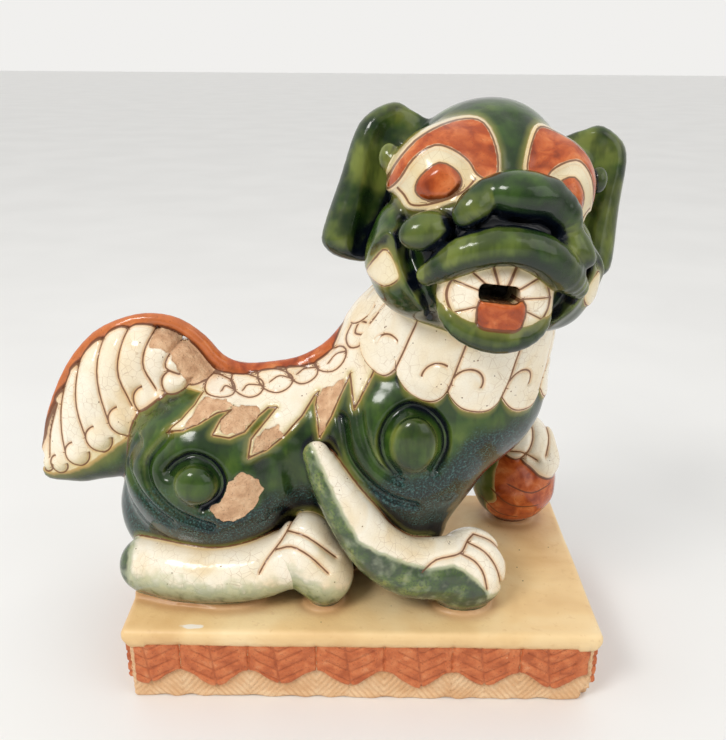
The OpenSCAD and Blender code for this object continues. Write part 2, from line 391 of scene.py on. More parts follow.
def body_chip(p):
    """How deep inside a bare chip p is, in mm. The chips are on the right side."""
    q = oblique(p)
    cape = inside_distance(q, CAPE)
    bare = functools.reduce(np.minimum, [inside_distance(q, chip) for chip in BARE_FLAMES])
    bare = np.maximum(bare, cape + 0.5)
    chip = np.minimum(bare, inside_distance(q, HAUNCH_CHIP)) + 0.7 * wobble(p, 5, 31)
    return np.where(p[:, 1] < -2, -chip, -FAR)


def flank_grooves(p):
    """Depth of the carved arcs and rib folds at p, from its place on the flank."""
    q = from_side(p)
    sink = groove(lines_distance(q, RIB_FOLDS), 0.9, 4)
    for knots, depth, width in FLANK_ARCS:
        sink = np.maximum(sink, groove(curve_distance(q, smooth(knots)), depth, width))
    return sink


def body(p):
    side = np.where(p[:, 1:2] > 0, flip(p), p)
    d = soft_min([trunk(p), haunch(side), shoulder(side)], 5)
    d = d + flank_grooves(p) * np.clip((np.abs(p[:, 1]) - 18) / 8, 0, 1)
    upper = p[:, 2] > 95
    if upper.any():
        top = p[upper]
        lift = 0.4 * step(-inside_distance(oblique(top), CAPE), -0.4, 0.8)
        d[upper] = d[upper] - lift + groove(body_lines(top), 0.5, 0.9)
    d = d + 0.8 * step(body_chip(p), -0.3, 0.5)
    return np.maximum(d + 0.3 * wobble(p, 22, 1), SLAB_TOP - p[:, 2])


def haunch_curl(p):
    """The button in the middle of the haunch's carved arcs."""
    return egg(p, (-71, -46.5, 99.5), (8.5, 5, 8.5))


def shoulder_curl(p):
    return egg(p, (21, -48, 120.5), (9, 5, 12))


RIDGE = [
    (-152, 0, 95, 0.8), (-147, 0, 113, 1.4), (-136, 0, 135, 1.9), (-122, 0, 150.5, 2.3),
    (-107, 0, 157.5, 2.5), (-95.5, 0, 159, 2.7), (-84.5, 0, 156.5, 2.9), (-74.5, 0, 149, 3.1),
    (-67, 0, 139.5, 3.5), (-58, 0, 135, 3.7), (-46, 0, 134.7, 3.8), (-30, 0, 137.6, 3.8),
    (-17, 0, 144.6, 3.8), (-8, -1, 154, 3.8), (-2, -2, 161, 3.6), (3, -3, 167.5, 3.4),
]


def ridge(p):
    return tube(p, RIDGE)


# -------------------------------------------------------------------- tail

TAIL_OUTLINE = smooth([
    (-154, 80), (-153, 94), (-146, 115), (-134, 136), (-119, 151), (-103, 157), (-88, 154),
    (-76, 145), (-66, 130), (-64, 108), (-82, 92), (-104, 84), (-124, 79), (-140, 77),
], 4, closed=True)
LOCK_LINES = [
    [(-143, 118), (-148, 103), (-149, 92)], [(-137, 133), (-140, 121), (-141, 106), (-140, 96)],
    [(-128, 147), (-131, 136), (-132, 119), (-129, 104)],
    [(-117, 155), (-120, 142), (-120, 127), (-117, 113)],
    [(-105, 159), (-109, 147), (-110, 135), (-105, 122)],
    [(-92, 159), (-97, 149), (-98, 140), (-93, 131)],
    [(-80, 151), (-86, 147), (-88, 141), (-82, 138)],
]
KNOBS = [(-151, 87.5, 3.5), (-144, 89, 4.5), (-134, 95.5, 6), (-122.5, 104, 6.5), (-110, 114, 7),
         (-97, 125, 7), (-84, 134, 6)]
# The fan rounds off over this much of its rim
TAIL_RIM = 15.0
# The green band under the knobs, down to the fan's lower edge
TAIL_BAND = [(-158, 84.5), (-148, 84), (-140, 86), (-130, 90.5), (-118, 99.5), (-106, 109), (-93, 120),
             (-82, 129), (-76, 131), (-58, 129), (-58, 66), (-158, 66)]
TAIL_CHIP = [(-94, 157), (-84, 156), (-76, 149), (-68, 141), (-67, 130), (-74, 127), (-79, 130),
             (-80, 136), (-84, 143), (-88, 148), (-95, 150)]


def tail_lines(p):
    """Signed distance to the lines between the locks and round their knobs."""
    q = from_side(p)
    d = lines_distance(q, LOCK_LINES)
    for x, z, r in KNOBS:
        off = q - np.array([x, z], q.dtype)
        turn = np.degrees(np.arctan2(off[:, 1], off[:, 0]))
        drawn = (turn < 15) | (turn > 105)
        d = nearer(d, np.where(drawn, norm(off) - r, FAR))
    return d


def tail_chip(p):
    chip = inside_distance(from_side(p), TAIL_CHIP) + 0.8 * wobble(p, 6, 32)
    return np.where(p[:, 1] < 0, -chip, -FAR)


def tail(p):
    """The fan, thin at its tip and thicker where it leaves the rump."""
    q = from_side(p)
    thick = np.clip(7 + (p[:, 0] + 150) * 0.16, 6, 17)
    inset = np.maximum(inside_distance(q, TAIL_OUTLINE) + TAIL_RIM, 0) / TAIL_RIM
    d = (np.sqrt(inset ** 2 + (p[:, 1] / thick) ** 2) - 1) * 11
    line = tail_lines(p)
    band = inside_distance(q, TAIL_BAND)
    d = d + (groove(line, 0.9, 2.0) + groove(line, 0.5, 0.7)) * step(band, -1, 1)
    for x, z, r in KNOBS:
        off = q - np.array([x, z], q.dtype)
        d = d - groove(norm(off), 1.3, 0.75 * r)
    d = d + 0.7 * step(tail_chip(p), -0.3, 0.5)
    return d + 0.2 * wobble(p, 16, 2)


# ------------------------------------------------------------------- limbs

HIND_SHANK = [(-99, -30, 50, 13), (-84, -35, 51, 14), (-66, -38, 51, 13.5), (-48, -38, 53, 13.5),
              (-36, -37, 57, 13)]
FORE_SHANK = [(-20, -41, 112, 5.8), (-14, -43, 100, 8.2), (-4, -45, 83, 10.6), (7, -45, 68, 12),
              (21, -43, 58, 13), (38, -40, 56, 14)]
FAR_SHANK = [(30, 26, 112, 14), (44, 33, 103, 13), (58, 37, 95, 12.5), (70, 38, 89, 12)]

# Toe lines and the wrist line above them, seen obliquely
HIND_TOES = [[(-31, 44), (-34, 37), (-41, 27), (-45, 20)], [(-33, 38), (-24, 35), (-12, 27)],
             [(-38, 30), (-31, 31), (-23, 27), (-15, 20)]]
FORE_TOES = [[(26, 21), (32, 26), (40, 28), (44, 30), (47, 35), (50, 38)],
             [(43, 29), (49, 26), (53, 21), (55, 14)], [(47, 34), (54, 30), (59, 24), (62, 17)],
             [(50, 38), (58, 35), (65, 29)]]
FAR_TOES = [[(84, 99), (86, 92), (84, 84), (80, 77)], [(93, 95), (95, 88), (93, 80)],
            [(72, 80), (80, 82), (88, 78)]]
# Where green glaze ran down the near foreleg's lower side
FORE_RUN = [(-23, 76), (-14, 57), (-8, 45), (-1, 33.5), (5, 30), (19, 25), (29, 23), (40, 24.5),
            (47, 20.5), (56, 13), (60, 0), (60, -12), (-60, -12), (-60, 76)]


def above_slab(p, d):
    """The field cut off flat where the limb rests on the slab."""
    return np.maximum(d, SLAB_TOP - p[:, 2])


def toe_cut(distance):
    """A narrow line in a wider soft dip."""
    return groove(distance, 1.2, 1.9) + groove(distance, 0.5, 0.7)


def hindleg(p):
    return above_slab(p, tube(p, HIND_SHANK) + toe_cut(hind_toes(p)))


def hind_toes(p):
    return lines_distance(oblique(p), HIND_TOES)


def hind_paw(p):
    d = soft_min([egg(p, (-25, -37, 62), (14, 14, 18)), egg(p, (-17, -38, 52), (13, 14, 15))], 6)
    return above_slab(p, d + toe_cut(hind_toes(p)))


def foreleg(p):
    return above_slab(p, tube(p, FORE_SHANK) + toe_cut(fore_toes(p)))


def fore_toes(p):
    return lines_distance(oblique(p), FORE_TOES)


def fore_paw(p):
    d = soft_min([egg(p, (49, -33, 54), (16, 17, 16)), egg(p, (45, -38, 49), (17, 14, 13))], 6)
    return above_slab(p, d + toe_cut(fore_toes(p)))


def far_foreleg(p):
    return tube(p, FAR_SHANK)


def far_toes(p):
    return lines_distance(from_side(p), FAR_TOES)


def far_paw(p):
    d = soft_min([egg(p, (84, 38, 84), (15, 15, 12)), egg(p, (92, 34, 74), (10, 12, 10))], 6)
    return d + toe_cut(far_toes(p))


def play_ball(p):
    return ball(p, BALL_AT, BALL_R) + 0.25 * wobble(p, 14, 5)


# ------------------------------------------------------------------ collar

NECK_AXIS = np.array([40.0, -8.0])
NECK_R = 40.0
# Lobe edges in degrees round the neck: 0 is the right side, 90 the front
LOBE_EDGES = np.array([-70, -42, -9, 25, 60, 93, 126, 159, 192, 225, 258, 290], float)
# Lobes whose comma curl starts from their far edge, not their near one
CURL_FROM_END = np.array([1, 1, 0, 0, 0, 1, 1, 1, 1, 0, 0], bool)
LOBE_FROM_FRONT = [0, 48, 82, 115, 145, 180]
LOBE_FOOT = [131, 132, 134.5, 138, 147, 162]
NOTCH = 7.0
CURL_R = 6.2
CURL_UP = 12.5
SEAM_LEAN = 0.45
MM_PER_DEGREE = NECK_R * math.pi / 180


def collar_lobes(p):
    """Height over the scalloped edge, and signed distance to the seams and comma curls."""
    turn = np.degrees(np.arctan2(p[:, 0] - NECK_AXIS[0], NECK_AXIS[1] - p[:, 1]))
    turn = np.where(turn < LOBE_EDGES[0], turn + 360, turn)
    k = np.clip(np.searchsorted(LOBE_EDGES, turn, side="right") - 1, 0, len(LOBE_EDGES) - 2)
    start, end = LOBE_EDGES[k], LOBE_EDGES[k + 1]
    across = (turn - start) / (end - start)
    foot = np.interp(np.abs(turn - 90), LOBE_FROM_FRONT, LOBE_FOOT)
    over = p[:, 2] - foot - NOTCH * np.abs(2 * across - 1) ** 3
    rise = p[:, 2] - foot - NOTCH
    lean = SEAM_LEAN * rise * np.where(turn < 90, 1, -1)
    from_start = (turn - start - lean) * MM_PER_DEGREE
    from_end = (end + lean - turn) * MM_PER_DEGREE
    seam = np.where(rise > -1, nearer(from_start, from_end), FAR)
    along = np.where(CURL_FROM_END[k], from_end, from_start) - CURL_R
    up = p[:, 2] - foot - CURL_UP
    curl = np.where(up > -1.5, np.hypot(along, up) - CURL_R, FAR)
    return over, nearer(seam, curl)


def collar_line(p):
    """Signed distance to the lobes' seams, curls and lower edge."""
    over, line = collar_lobes(p)
    return nearer(line, over - 0.4)


def collar(p):
    neck = soft_min([cone(p, BREAST, NECK), cone(p, NAPE, NECK), cone(p, NAPE, BREAST)], 9)
    form = soft_min([neck - 2.0, egg(p, (43, -9, 160), (40, 38, 22)),
                     egg(p, (40, -8, 148), (41, 40, 20))], 6)
    over, line = collar_lobes(p)
    form = form + groove(line, 0.6, 0.8) + groove(line, 0.5, 2.2)
    return soft_max(form, -over, 2.5)


# -------------------------------------------------------------------- head
# Outlines are (x, z) seen from the front, for the side where x is positive

BROW = outline((43, 13), (41, 21), (35, 30), (26, 36.5), (17, 40), (11, 39), (7, 31), (6, 23),
               (9, 19.5), (13, 21), (16, 25), (22, 28.5), (29, 29.5), (36, 24), (40, 16))
EYE = outline((42, 14), (40, 16), (36, 24), (29, 29.5), (22, 28.5), (16, 25), (12, 20.5), (15, 15),
              (20, 11), (29, 7), (35, 6.5), (38, 10))
PUPIL = outline((32.5, 13), (31.5, 17.5), (26.5, 22), (21, 20), (19.5, 16.5), (23, 12.5), (29, 11))
EAR = outline((24, 37), (33, 44), (40, 46), (49, 41), (54, 33), (58, 15), (63, -6), (62, -13),
              (55, -17), (43, -17), (42, -8), (39, 4), (35, 16))
EAR_HOLLOW = smooth([(31, 38), (40, 33), (42, 20), (43, 5), (45, -10)])
TONGUE = outline((-6, -22), (1, -23.5), (7.5, -22), (9, -27.5), (6.5, -33), (1, -34.5), (-4.5, -33),
                 (-7, -27.5))
FANG = outline((46.5, -19), (44, -13), (41.5, -10), (37, -16), (36.5, -19.5), (40.5, -23), (45, -21.5))
# The lines between the teeth, in degrees round the slot
TOOTH_ANGLES = [-66, -30, 8, 44, 76, 104, 132, 158, 213, 244]
TEETH_AT = (0.5, -41, -21.5)
TEETH_R = (21, 11, 16)
# How far the cream rim goes beyond the brow's amber, and the eye's lines from its edges
BROW_MARGIN = 1.1
EYE_LINE = 1.2


def from_front(q):
    """Points as (x, z), seen square on to the face."""
    return q[:, [0, 2]]


def narrowed(q):
    """Places across the head, stretched on its left side, which is narrower above the cheeks."""
    share = NARROWER - NARROWER_CHEEKS * step(-q[:, 2], -3, 12)
    return q[:, 0] + share * np.maximum(q[:, 0] - NARROW_FROM, 0)


CRANIUM = ((1, 2, 10), (39, 41, 42))
CHEEKS = ((2, -6, -14), (46, 36, 24))
# The face's masses: distance out from its middle, back and up, and half-axes. Those that are
# not in the middle come in pairs.
FACE_MASSES = [
    ((0, -20, 2), (36, 26.5, 22)), ((0, -14, -22), (31, 28, 19)), ((26, -15, -20), (18, 22, 16)),
    ((36, -20, -4), (10, 15, 13)), ((0, -32, -24), (19, 13.5, 16)), ((0, -34, 6), (23, 11.5, 12)),
    ((24, -20, 20), (17, 18, 17)),
]


def skull(q):
    """The head without the raised parts of its face."""
    q = q.copy()
    q[:, 0] = narrowed(q)
    masses = [soft_min([egg(q, *CRANIUM), egg(q, *CHEEKS)], 8)]
    for (out, back, up), r in FACE_MASSES:
        for side in (-1, 1) if out else (1,):
            masses.append(egg(q, (FACE_X + side * out, back, up), r))
    return soft_min(masses, 6)


# The ridge that curls over the fang, and the deep crease between it and the muzzle
CHEEK_FOLD = smooth([(48.5, -18), (47, -10), (43, -3.5), (39.5, -5), (37.5, -12), (33, -22), (26, -30)])
CHEEK_CREASE = smooth([(35.5, 1), (33, -9), (28, -19), (24, -26), (21, -32)])


def head(p):
    q = in_head(p)
    flat = from_front(q)
    sides = np.stack([np.abs(narrowed(q) - FACE_X), flat[:, 1]], 1)
    front = step(-q[:, 1], 5, 20)
    d = skull(q) - step(-q[:, 1], 0, 8) * groove(curve_distance(sides, CHEEK_FOLD), 2.0, 2.3)
    d = d + front * groove(curve_distance(sides, CHEEK_CREASE), 3.0, 3.2)
    parting = smooth([(FACE_X, 24), (FACE_X - 1, 34), (FACE_X + 1, 42)])
    return d + front * groove(curve_distance(flat, parting), 0.8, 3)


def patch(q, m, edge, lift, roundness, margin=0.0):
    """A low raised area of the face, bounded by an outline seen from the front."""
    rim = np.maximum(inside_distance(from_front(m), edge) - margin, q[:, 1] - FACE_BACK)
    return soft_max(skull(q) - lift, rim, roundness)


def brow_shape(q, m):
    return patch(q, m, BROW, 1.9, 1.6, BROW_MARGIN)


def eye_shape(q, m):
    return patch(q, m, EYE, 1.1, 0.8)


def pupil_shape(q, m):
    return patch(q, m, PUPIL, 3.4, 2.6)


def ear_shape(q, m):
    # The left ear hangs closer to the head than the other one
    lean = np.where(q[:, 0] > 0, np.clip(0.22 * (18 - q[:, 2]), -5, 7.5), 0)
    flat = from_front(m) + np.stack([lean, 0 * lean], 1)
    bend = 0.002 * (m[:, 2] - 20) ** 2
    sheet = np.abs(m[:, 1] - 2 + bend) - 8.0
    d = soft_max(sheet, inside_distance(flat, EAR), 11)
    dip = curve_distance(flat, EAR_HOLLOW)
    d = d + groove(dip, 5.0, 5.0) * step(-m[:, 1], 0, 5)
    return soft_min([d, egg(m, (41, -15, 24), (3.6, 4.2, 5.2))], 1.0)


def pad_shape(q, m):
    tilt = np.array(Matrix.Rotation(math.radians(20), 3, "Y"))
    return egg(m, (29, -42, -1), (10, 6.5, 7), tilt)


def nose_shape(q, m):
    return soft_min([
        egg(q, (4, -46, 15), (15.5, 11, 8.8)),
        tube(q, [(-9, -47, 14, 5.5), (-13, -48.5, 9.5, 6), (-15.5, -48.5, 6.5, 5)]),
        tube(q, [(13, -46, 14.5, 7.8), (20, -44.5, 10, 6.5), (23, -42, 3, 5)]),
    ], 1.4)


def lip_shape(q, m):
    return tube(q, [(-25.5, -41, -16.5, 4), (-19, -46.5, -10.5, 5.8), (-11, -50.5, -5.5, 6.8),
                    (1, -52, -2.5, 7), (13, -50.5, -4.5, 7.2), (23, -45, -10.5, 6.8),
                    (30.5, -39, -15.5, 4.4)])


def mouth_slot(q):
    """The dark slot between the teeth, which runs right into the hollow head."""
    flat = np.stack([np.abs(q[:, 0] + 0.5) - 5.2, np.abs(q[:, 2] + 19.8) - 0.9], 1)
    return norm(np.maximum(flat, 0)) - 2.2


def tooth_lines(q):
    """Signed distance to the lines that run out from the slot, and the line round their ends."""
    x = q[:, 0] - TEETH_AT[0]
    z = q[:, 2] - TEETH_AT[2]
    turn = np.degrees(np.arctan2(1.5 * z, x))
    turn = np.where(turn < -90, turn + 360, turn)
    off = functools.reduce(nearer, [turn - angle for angle in TOOTH_ANGLES])
    between = np.radians(off) * np.hypot(x, z)
    root = (np.hypot(x / 0.90 / TEETH_R[0], z / 0.84 / TEETH_R[2]) - 1) * 15
    return nearer(np.where(root < 0.5, between, FAR), root)


def teeth_shape(q, m):
    return egg(q, TEETH_AT, TEETH_R) + groove(tooth_lines(q), 0.6, 0.9)


def tongue_shape(q, m):
    surface = egg(q, TEETH_AT, TEETH_R) - 1.6
    return soft_max(surface, inside_distance(from_front(q), TONGUE), 1.6)


def lower_lip_shape(q, m):
    return tube(q, [(-19, -39.5, -24, 1.8), (-16.5, -43, -30, 3.6), (-9.5, -45.5, -34.8, 4.8),
                    (1, -47, -36.8, 5.2), (11, -45.5, -34.8, 4.8), (17.5, -43, -30, 3.6),
                    (20, -39.5, -24, 1.8)])


def fang_shape(q, m):
    return patch(q, m, FANG, 1.8, 2.2)


# ------------------------------------------------------------------ plinth

SLAB_EDGE = 2.6
WALL_T = 8.0
COMB_PITCH = 2.3
COMB_SLOPE = math.radians(52)
PETAL_PITCH = 30.0
PETAL_SHIFT = 5.0
PETAL_ROOT = 15.5
PETAL_MARGIN = 0.8
PETAL_HANG = 7.5
VEIN_PITCH = 5.2
SLAB_FLAKE = (-75, -58.5)


def rounded_box(p, low, high, r):
    half = (np.asarray(high) - np.asarray(low)) / 2
    at = (np.asarray(high) + np.asarray(low)) / 2
    q = np.abs(p - at.astype(p.dtype)) - (half - r).astype(p.dtype)
    return norm(np.maximum(q, 0)) + np.minimum(np.max(q, axis=1), 0) - r


def limbs(p):
    """Everything of the animal that rests on the slab."""
    own = np.where(p[:, 1:2] < 0, p, flip(p))
    legs = [tube(own, HIND_SHANK, 1), egg(own, (-17, -38, 52), (13, 14, 15))]
    fore = [tube(p, FORE_SHANK, 1), egg(p, (45, -38, 49), (17, 14, 13)), play_ball(p)]
    return functools.reduce(np.minimum, legs + fore + [cone(p, SEAT, BELLY), cone(p, BELLY, ELBOW)])


def slab(p):
    d = rounded_box(p, slab_low, slab_high, SLAB_EDGE)
    d = np.maximum(d, -rounded_box(p, (-90, -15, 20), (10, 15, SLAB_TOP - 1.5), 2))
    skirt = np.maximum(limbs(p) - 1.6 - 0.8 * wobble(p, 30, 8), p[:, 2] - SLAB_TOP - 0.6)
    within = rounded_box(p, slab_low, slab_high + np.array([0, 0, 4]), SLAB_EDGE) + 0.6
    skirt = soft_max(skirt, within, 2)
    return soft_min([d, skirt], 3) + 0.15 * wobble(p, 40, 6)


def wall_place(p):
    """Distance along the nearest wall and distance out from its face."""
    out_x = np.abs(p[:, 0]) - wall_high[0]
    out_y = np.abs(p[:, 1]) - wall_high[1]
    long_side = out_y > out_x
    along = np.where(long_side, p[:, 0] * np.sign(-p[:, 1]), p[:, 1] * np.sign(p[:, 0]))
    return along, np.where(long_side, out_y, out_x)


def petal_place(p):
    """Petal number along the wall, and place across that petal from -1 to 1."""
    turn = (wall_place(p)[0] + PETAL_SHIFT) / PETAL_PITCH + 0.5
    number = np.floor(turn)
    return number, 2 * (turn - number) - 1


def comb_lines(p):
    """Ripple of the combed clay below the petals, from -1 to 1."""
    lean = np.where(petal_place(p)[1] > 0, 1, -1)
    run = wall_place(p)[0] * math.sin(COMB_SLOPE) + lean * p[:, 2] * math.cos(COMB_SLOPE)
    return np.cos(run * 2 * math.pi / COMB_PITCH + 0.6 * wobble(p, 18, 9))


def wall(p):
    outer = rounded_box(p, wall_low, wall_high + np.array([0, 0, 1]), 1.6)
    inner_low = np.array([wall_low[0] + WALL_T, wall_low[1] + WALL_T, -30])
    inner_high = np.array([wall_high[0] - WALL_T, wall_high[1] - WALL_T, 60])
    d = np.maximum(outer, -rounded_box(p, inner_low, inner_high, 4))
    comb = 0.28 * comb_lines(p) * step(p[:, 2], 2, 5) * step(27 - p[:, 2], 0, 4)
    chipped = ball(p, (wall_high[0] + 1, wall_low[1] - 1, 1), 6) + 0.8 * wobble(p, 5, 12)
    d = soft_max(d, -chipped, 1.0)
    worn = 0.5 * wobble(p, 12, 13) * step(4 - p[:, 2], 0, 4)
    return np.maximum(d + comb + worn, -p[:, 2])


def petal_rim(p):
    """Signed distance to the hanging petals, seen square on to the wall."""
    number, across = petal_place(p)
    hang = PETAL_HANG + 0.9 * np.sin(number * 2.3)
    foot = PETAL_ROOT - hang * 0.5 * (1 + np.cos(math.pi * across)) + 0.3 * wobble(p, 6, 15)
    gap = (1 - np.abs(across)) * PETAL_PITCH / 2 - 0.3
    top = petal_high[2] - 2.4 * np.abs(across) ** 12
    return np.maximum(np.maximum(foot - p[:, 2], p[:, 2] - top), -gap) * 0.8


def petal_veins(p):
    """Distance to the leaf veins cut into each petal."""
    number, across = petal_place(p)
    x = across * PETAL_PITCH / 2 - 1.5 * np.sin(number * 1.7)
    z = p[:, 2] - PETAL_ROOT + 5
    stem = np.abs(x + 0.12 * z)
    branch = (z - 0.55 * np.abs(x)) / VEIN_PITCH + 0.35 * np.sin(number * 3.1)
    off = np.abs(branch - np.round(branch)) * VEIN_PITCH * 0.87
    side = np.where(np.abs(x) < 0.36 * PETAL_PITCH, off, FAR)
    return np.minimum(stem, side)


def petal_band(p):
    thick = petal_high[1] - petal_low[1]
    swell = 0.5 * np.cos(petal_place(p)[1] * math.pi / 2)
    d = soft_max(np.abs(wall_place(p)[1]) - thick - swell + 0.3, petal_rim(p), 1.2)
    end = np.abs(p[:, :2]) - wall_high[:2] + PETAL_MARGIN
    end = np.where(end[:, 1] > PETAL_MARGIN - 0.5, end[:, 0], end[:, 1])
    d = np.maximum(np.maximum(d, end), p[:, 2] - petal_high[2])
    return d + groove(petal_veins(p), 0.55, 0.55) + 0.12 * wobble(p, 5, 14)


# ------------------------------------------------------------------ groups

class Group:
    """One clay component's field, with the box in which it matters."""

    def __init__(self, name, field, low, high, glaze):
        self.name = name
        self.field = field
        self.low = np.array(low, float)
        self.high = np.array(high, float)
        self.glaze = glaze

    def at(self, p, margin=7.0):
        """The field at p, or FAR where p is well outside the component's box."""
        d = np.full(len(p), FAR, p.dtype)
        here = np.all((p > self.low - margin) & (p < self.high + margin), axis=1)
        if here.any():
            d[here] = self.field(p[here])
        return d


GROUPS = {}


def add_group(name, field, glaze, grow, nodes=None):
    """A component whose box comes from its CAD nodes, which are the one of its name or those given."""
    boxes = [box_mm(node) for node in nodes or [name]]
    low = np.min([box[0] for box in boxes], axis=0) - grow
    high = np.max([box[1] for box in boxes], axis=0) + grow
    GROUPS[name] = Group(name, field, low, high, glaze)


# The animal's right side faces the camera
SIDES = (("right", -1), ("left", 1))


def on_side(shape, side):
    """A limb field for the near side (-1) or, mirrored, the far side (1)."""
    if side < 0:
        return shape
    return lambda p: shape(flip(p))


def on_head(shape, side=1, centre=FACE_X):
    """A head field. It gets the head's own points, and the same ones mirrored to one side.

    Only the face follows the head's narrower side. The ears have a centre of their own.
    """
    def field(p):
        q = in_head(p)
        m = q.copy()
        across = narrowed(q) if centre == FACE_X else q[:, 0]
        m[:, 0] = side * (across - centre)
        return shape(q, m)
    return field


# Parts that come in pairs: name, field, glaze, and how far its box grows beyond the CAD node's
LIMB_PARTS = (("_haunch_curl", haunch_curl, GREEN, 4), ("_shoulder_curl", shoulder_curl, GREEN, 6),
              ("_hindleg", hindleg, CREAM, 4), ("_hind_paw", hind_paw, CREAM, 4))
FACE_PARTS = (("_eye", eye_shape, CREAM, 9), ("_pupil", pupil_shape, AMBER, 7),
              ("_brow", brow_shape, AMBER, 9), ("_muzzle_pad", pad_shape, GREEN, 7),
              ("_fang", fang_shape, CREAM, 8))


def add_groups():
    add_group("body", body, GREEN, 4, ["body_right_half", "body_left_half"])
    add_group("spine_ridge", ridge, AMBER, 4)
    add_group("tail", tail, CREAM, 6)
    add_group("mane_collar", collar, CREAM, 10)
    for word, side in SIDES:
        for part, shape, glaze, grow in LIMB_PARTS:
            add_group(word + part, on_side(shape, side), glaze, grow)
        add_group(word + "_ear", on_head(ear_shape, side, EAR_X), GREEN, 8)
        for part, shape, glaze, grow in FACE_PARTS:
            add_group(word + part, on_head(shape, side), glaze, grow)
    add_group("right_foreleg", foreleg, CREAM, 4)
    add_group("right_fore_paw", fore_paw, CREAM, 4)
    add_group("left_foreleg", far_foreleg, GREEN, 6)
    add_group("left_fore_paw", far_paw, CREAM, 4)
    add_group("ball", play_ball, AMBER, 1)
    add_group("head", head, GREEN, 4, ["head_front_shell", "head_back_shell"])
    add_group("nose", on_head(nose_shape), GREEN, 7)
    add_group("upper_lip", on_head(lip_shape), GREEN, 8)
    add_group("lower_lip", on_head(lower_lip_shape), GREEN, 8)
    add_group("teeth_ring", on_head(teeth_shape), CREAM, 8)
    add_group("tongue", on_head(tongue_shape), AMBER, 7)
    add_group("plinth_slab", slab, BUFF, 3)
    add_group("plinth_wall", wall, BARE, 1)
    for word in ("front", "back", "left", "right"):
        add_group("petal_band_" + word, petal_band, PETAL, 0.6)


add_groups()
PLINTH = [name for name in GROUPS if name.startswith(("plinth", "petal"))]


def cut_holes(p, d):
    """The mouth slot, which is cut through more than one component."""
    q = in_head(p)
    slot_depth = np.maximum(mouth_slot(q), q[:, 1] + 6)
    return soft_max(d, -slot_depth, 0.8)


def neighbours(low, high):
    """Groups whose boxes come near the given box."""
    return [g for g in GROUPS.values()
            if np.all(g.low - 5 < high) and np.all(g.high + 5 > low)]


class Piece:
    """One visible piece: where its group is the nearest field, on its side of any cut."""

    def __init__(self, group, cut=None):
        self.group = GROUPS[group]
        self.cut = cut
        self.around = neighbours(self.group.low, self.group.high)
        self.seam_soft = SEAM_SOFT * (0.25 if group in PLINTH[1:] else 1)
        self.holed = group not in PLINTH

    def survey(self, p):
        """The whole figure's surface at p, and how far p is from this piece's own ground."""
        total = np.zeros(len(p), np.float64)
        other = np.full(len(p), FAR, np.float64)
        own = self.group.at(p, FAR).astype(np.float64)
        for g in self.around:
            d = own if g is self.group else g.at(p).astype(np.float64)
            total += np.exp(-np.clip(d, -40, 40) / self.seam_soft)
            if g is not self.group:
                other = np.minimum(other, d)
        figure = -self.seam_soft * np.log(np.maximum(total, 1e-14))
        away = own - other
        if self.cut is not None:
            away = np.maximum(away, 2 * self.cut(p))
        return figure, away

    def field(self, p):
        """This piece's closed solid. It runs a little way under its neighbours."""
        figure, away = self.survey(p)
        if self.holed:
            figure = cut_holes(p, figure)
        return np.maximum(figure + TUCK_SLOPE * np.maximum(away, 0), away - TUCK)


def half_of(place, side, at=0):
    """A cut that keeps what is on one side of a plane across y, in the frame that place gives."""
    return lambda p: side * (place(p)[:, 1] - at)


# ------------------------------------------------------------------ meshes

def fine_grid(field, low, high, size):
    """Samples field on a fine grid, but only near its surface."""
    ratio = 4
    low = np.floor(low / (size * ratio)) * size * ratio
    count = np.ceil((high - low) / (size * ratio)).astype(int)
    axes = [low[i] + size * ratio * (np.arange(count[i]) + 0.5) for i in range(3)]
    centres = np.stack(np.meshgrid(*axes, indexing="ij"), -1).reshape(-1, 3).astype(np.float32)
    coarse = field(centres)
    reach = size * ratio * 1.3 + 1.0
    near = np.abs(coarse) < reach
    dense = np.sign(coarse).reshape(count).astype(np.float32) * size * 3
    for axis in range(3):
        dense = np.repeat(dense, ratio, axis)
    block = np.argwhere(near.reshape(count))
    offsets = np.stack(np.meshgrid(*[np.arange(ratio)] * 3, indexing="ij"), -1).reshape(-1, 3)
    index = (block[:, None, :] * ratio + offsets[None]).reshape(-1, 3)
    points = (low + (index + 0.5) * size).astype(np.float32)
    parts = np.array_split(points, len(points) // BATCH + 1)
    values = np.concatenate([field(part) for part in parts])
    dense[index[:, 0], index[:, 1], index[:, 2]] = values
    return dense, low + 0.5 * size


def gradient(field, points):
    """The field's gradient, from four samples round each point."""
    corners = np.array([[1, -1, -1], [-1, -1, 1], [-1, 1, -1], [1, 1, 1]], float)
    reach = 0.08
    out = np.zeros_like(points)
    for corner in corners:
        out += field(points + corner * reach)[:, None] * corner
    return out / (4 * reach)


def mesh_of(field, low, high, size):
    """Vertices and quads of the field's surface, pulled exactly onto it, and its normals."""
    dense, origin = fine_grid(field, np.array(low) - 3 * size, np.array(high) + 3 * size, size)
    grid = openvdb.FloatGrid(background=size * 3)
    grid.copyFromArray(np.clip(dense, -3 * size, 3 * size), tolerance=0)
    points, quads = grid.convertToQuads(isovalue=0.0)
    points = points.astype(np.float64) * size + origin
    normals = gradient(field, points)
    steep = np.maximum(norm(normals), 0.2)
    normals /= steep[:, None]
    for _ in range(2):
        move = np.clip(field(points) / steep, -0.6 * size, 0.6 * size)
        points -= normals * move[:, None]
    return points, quads, normals


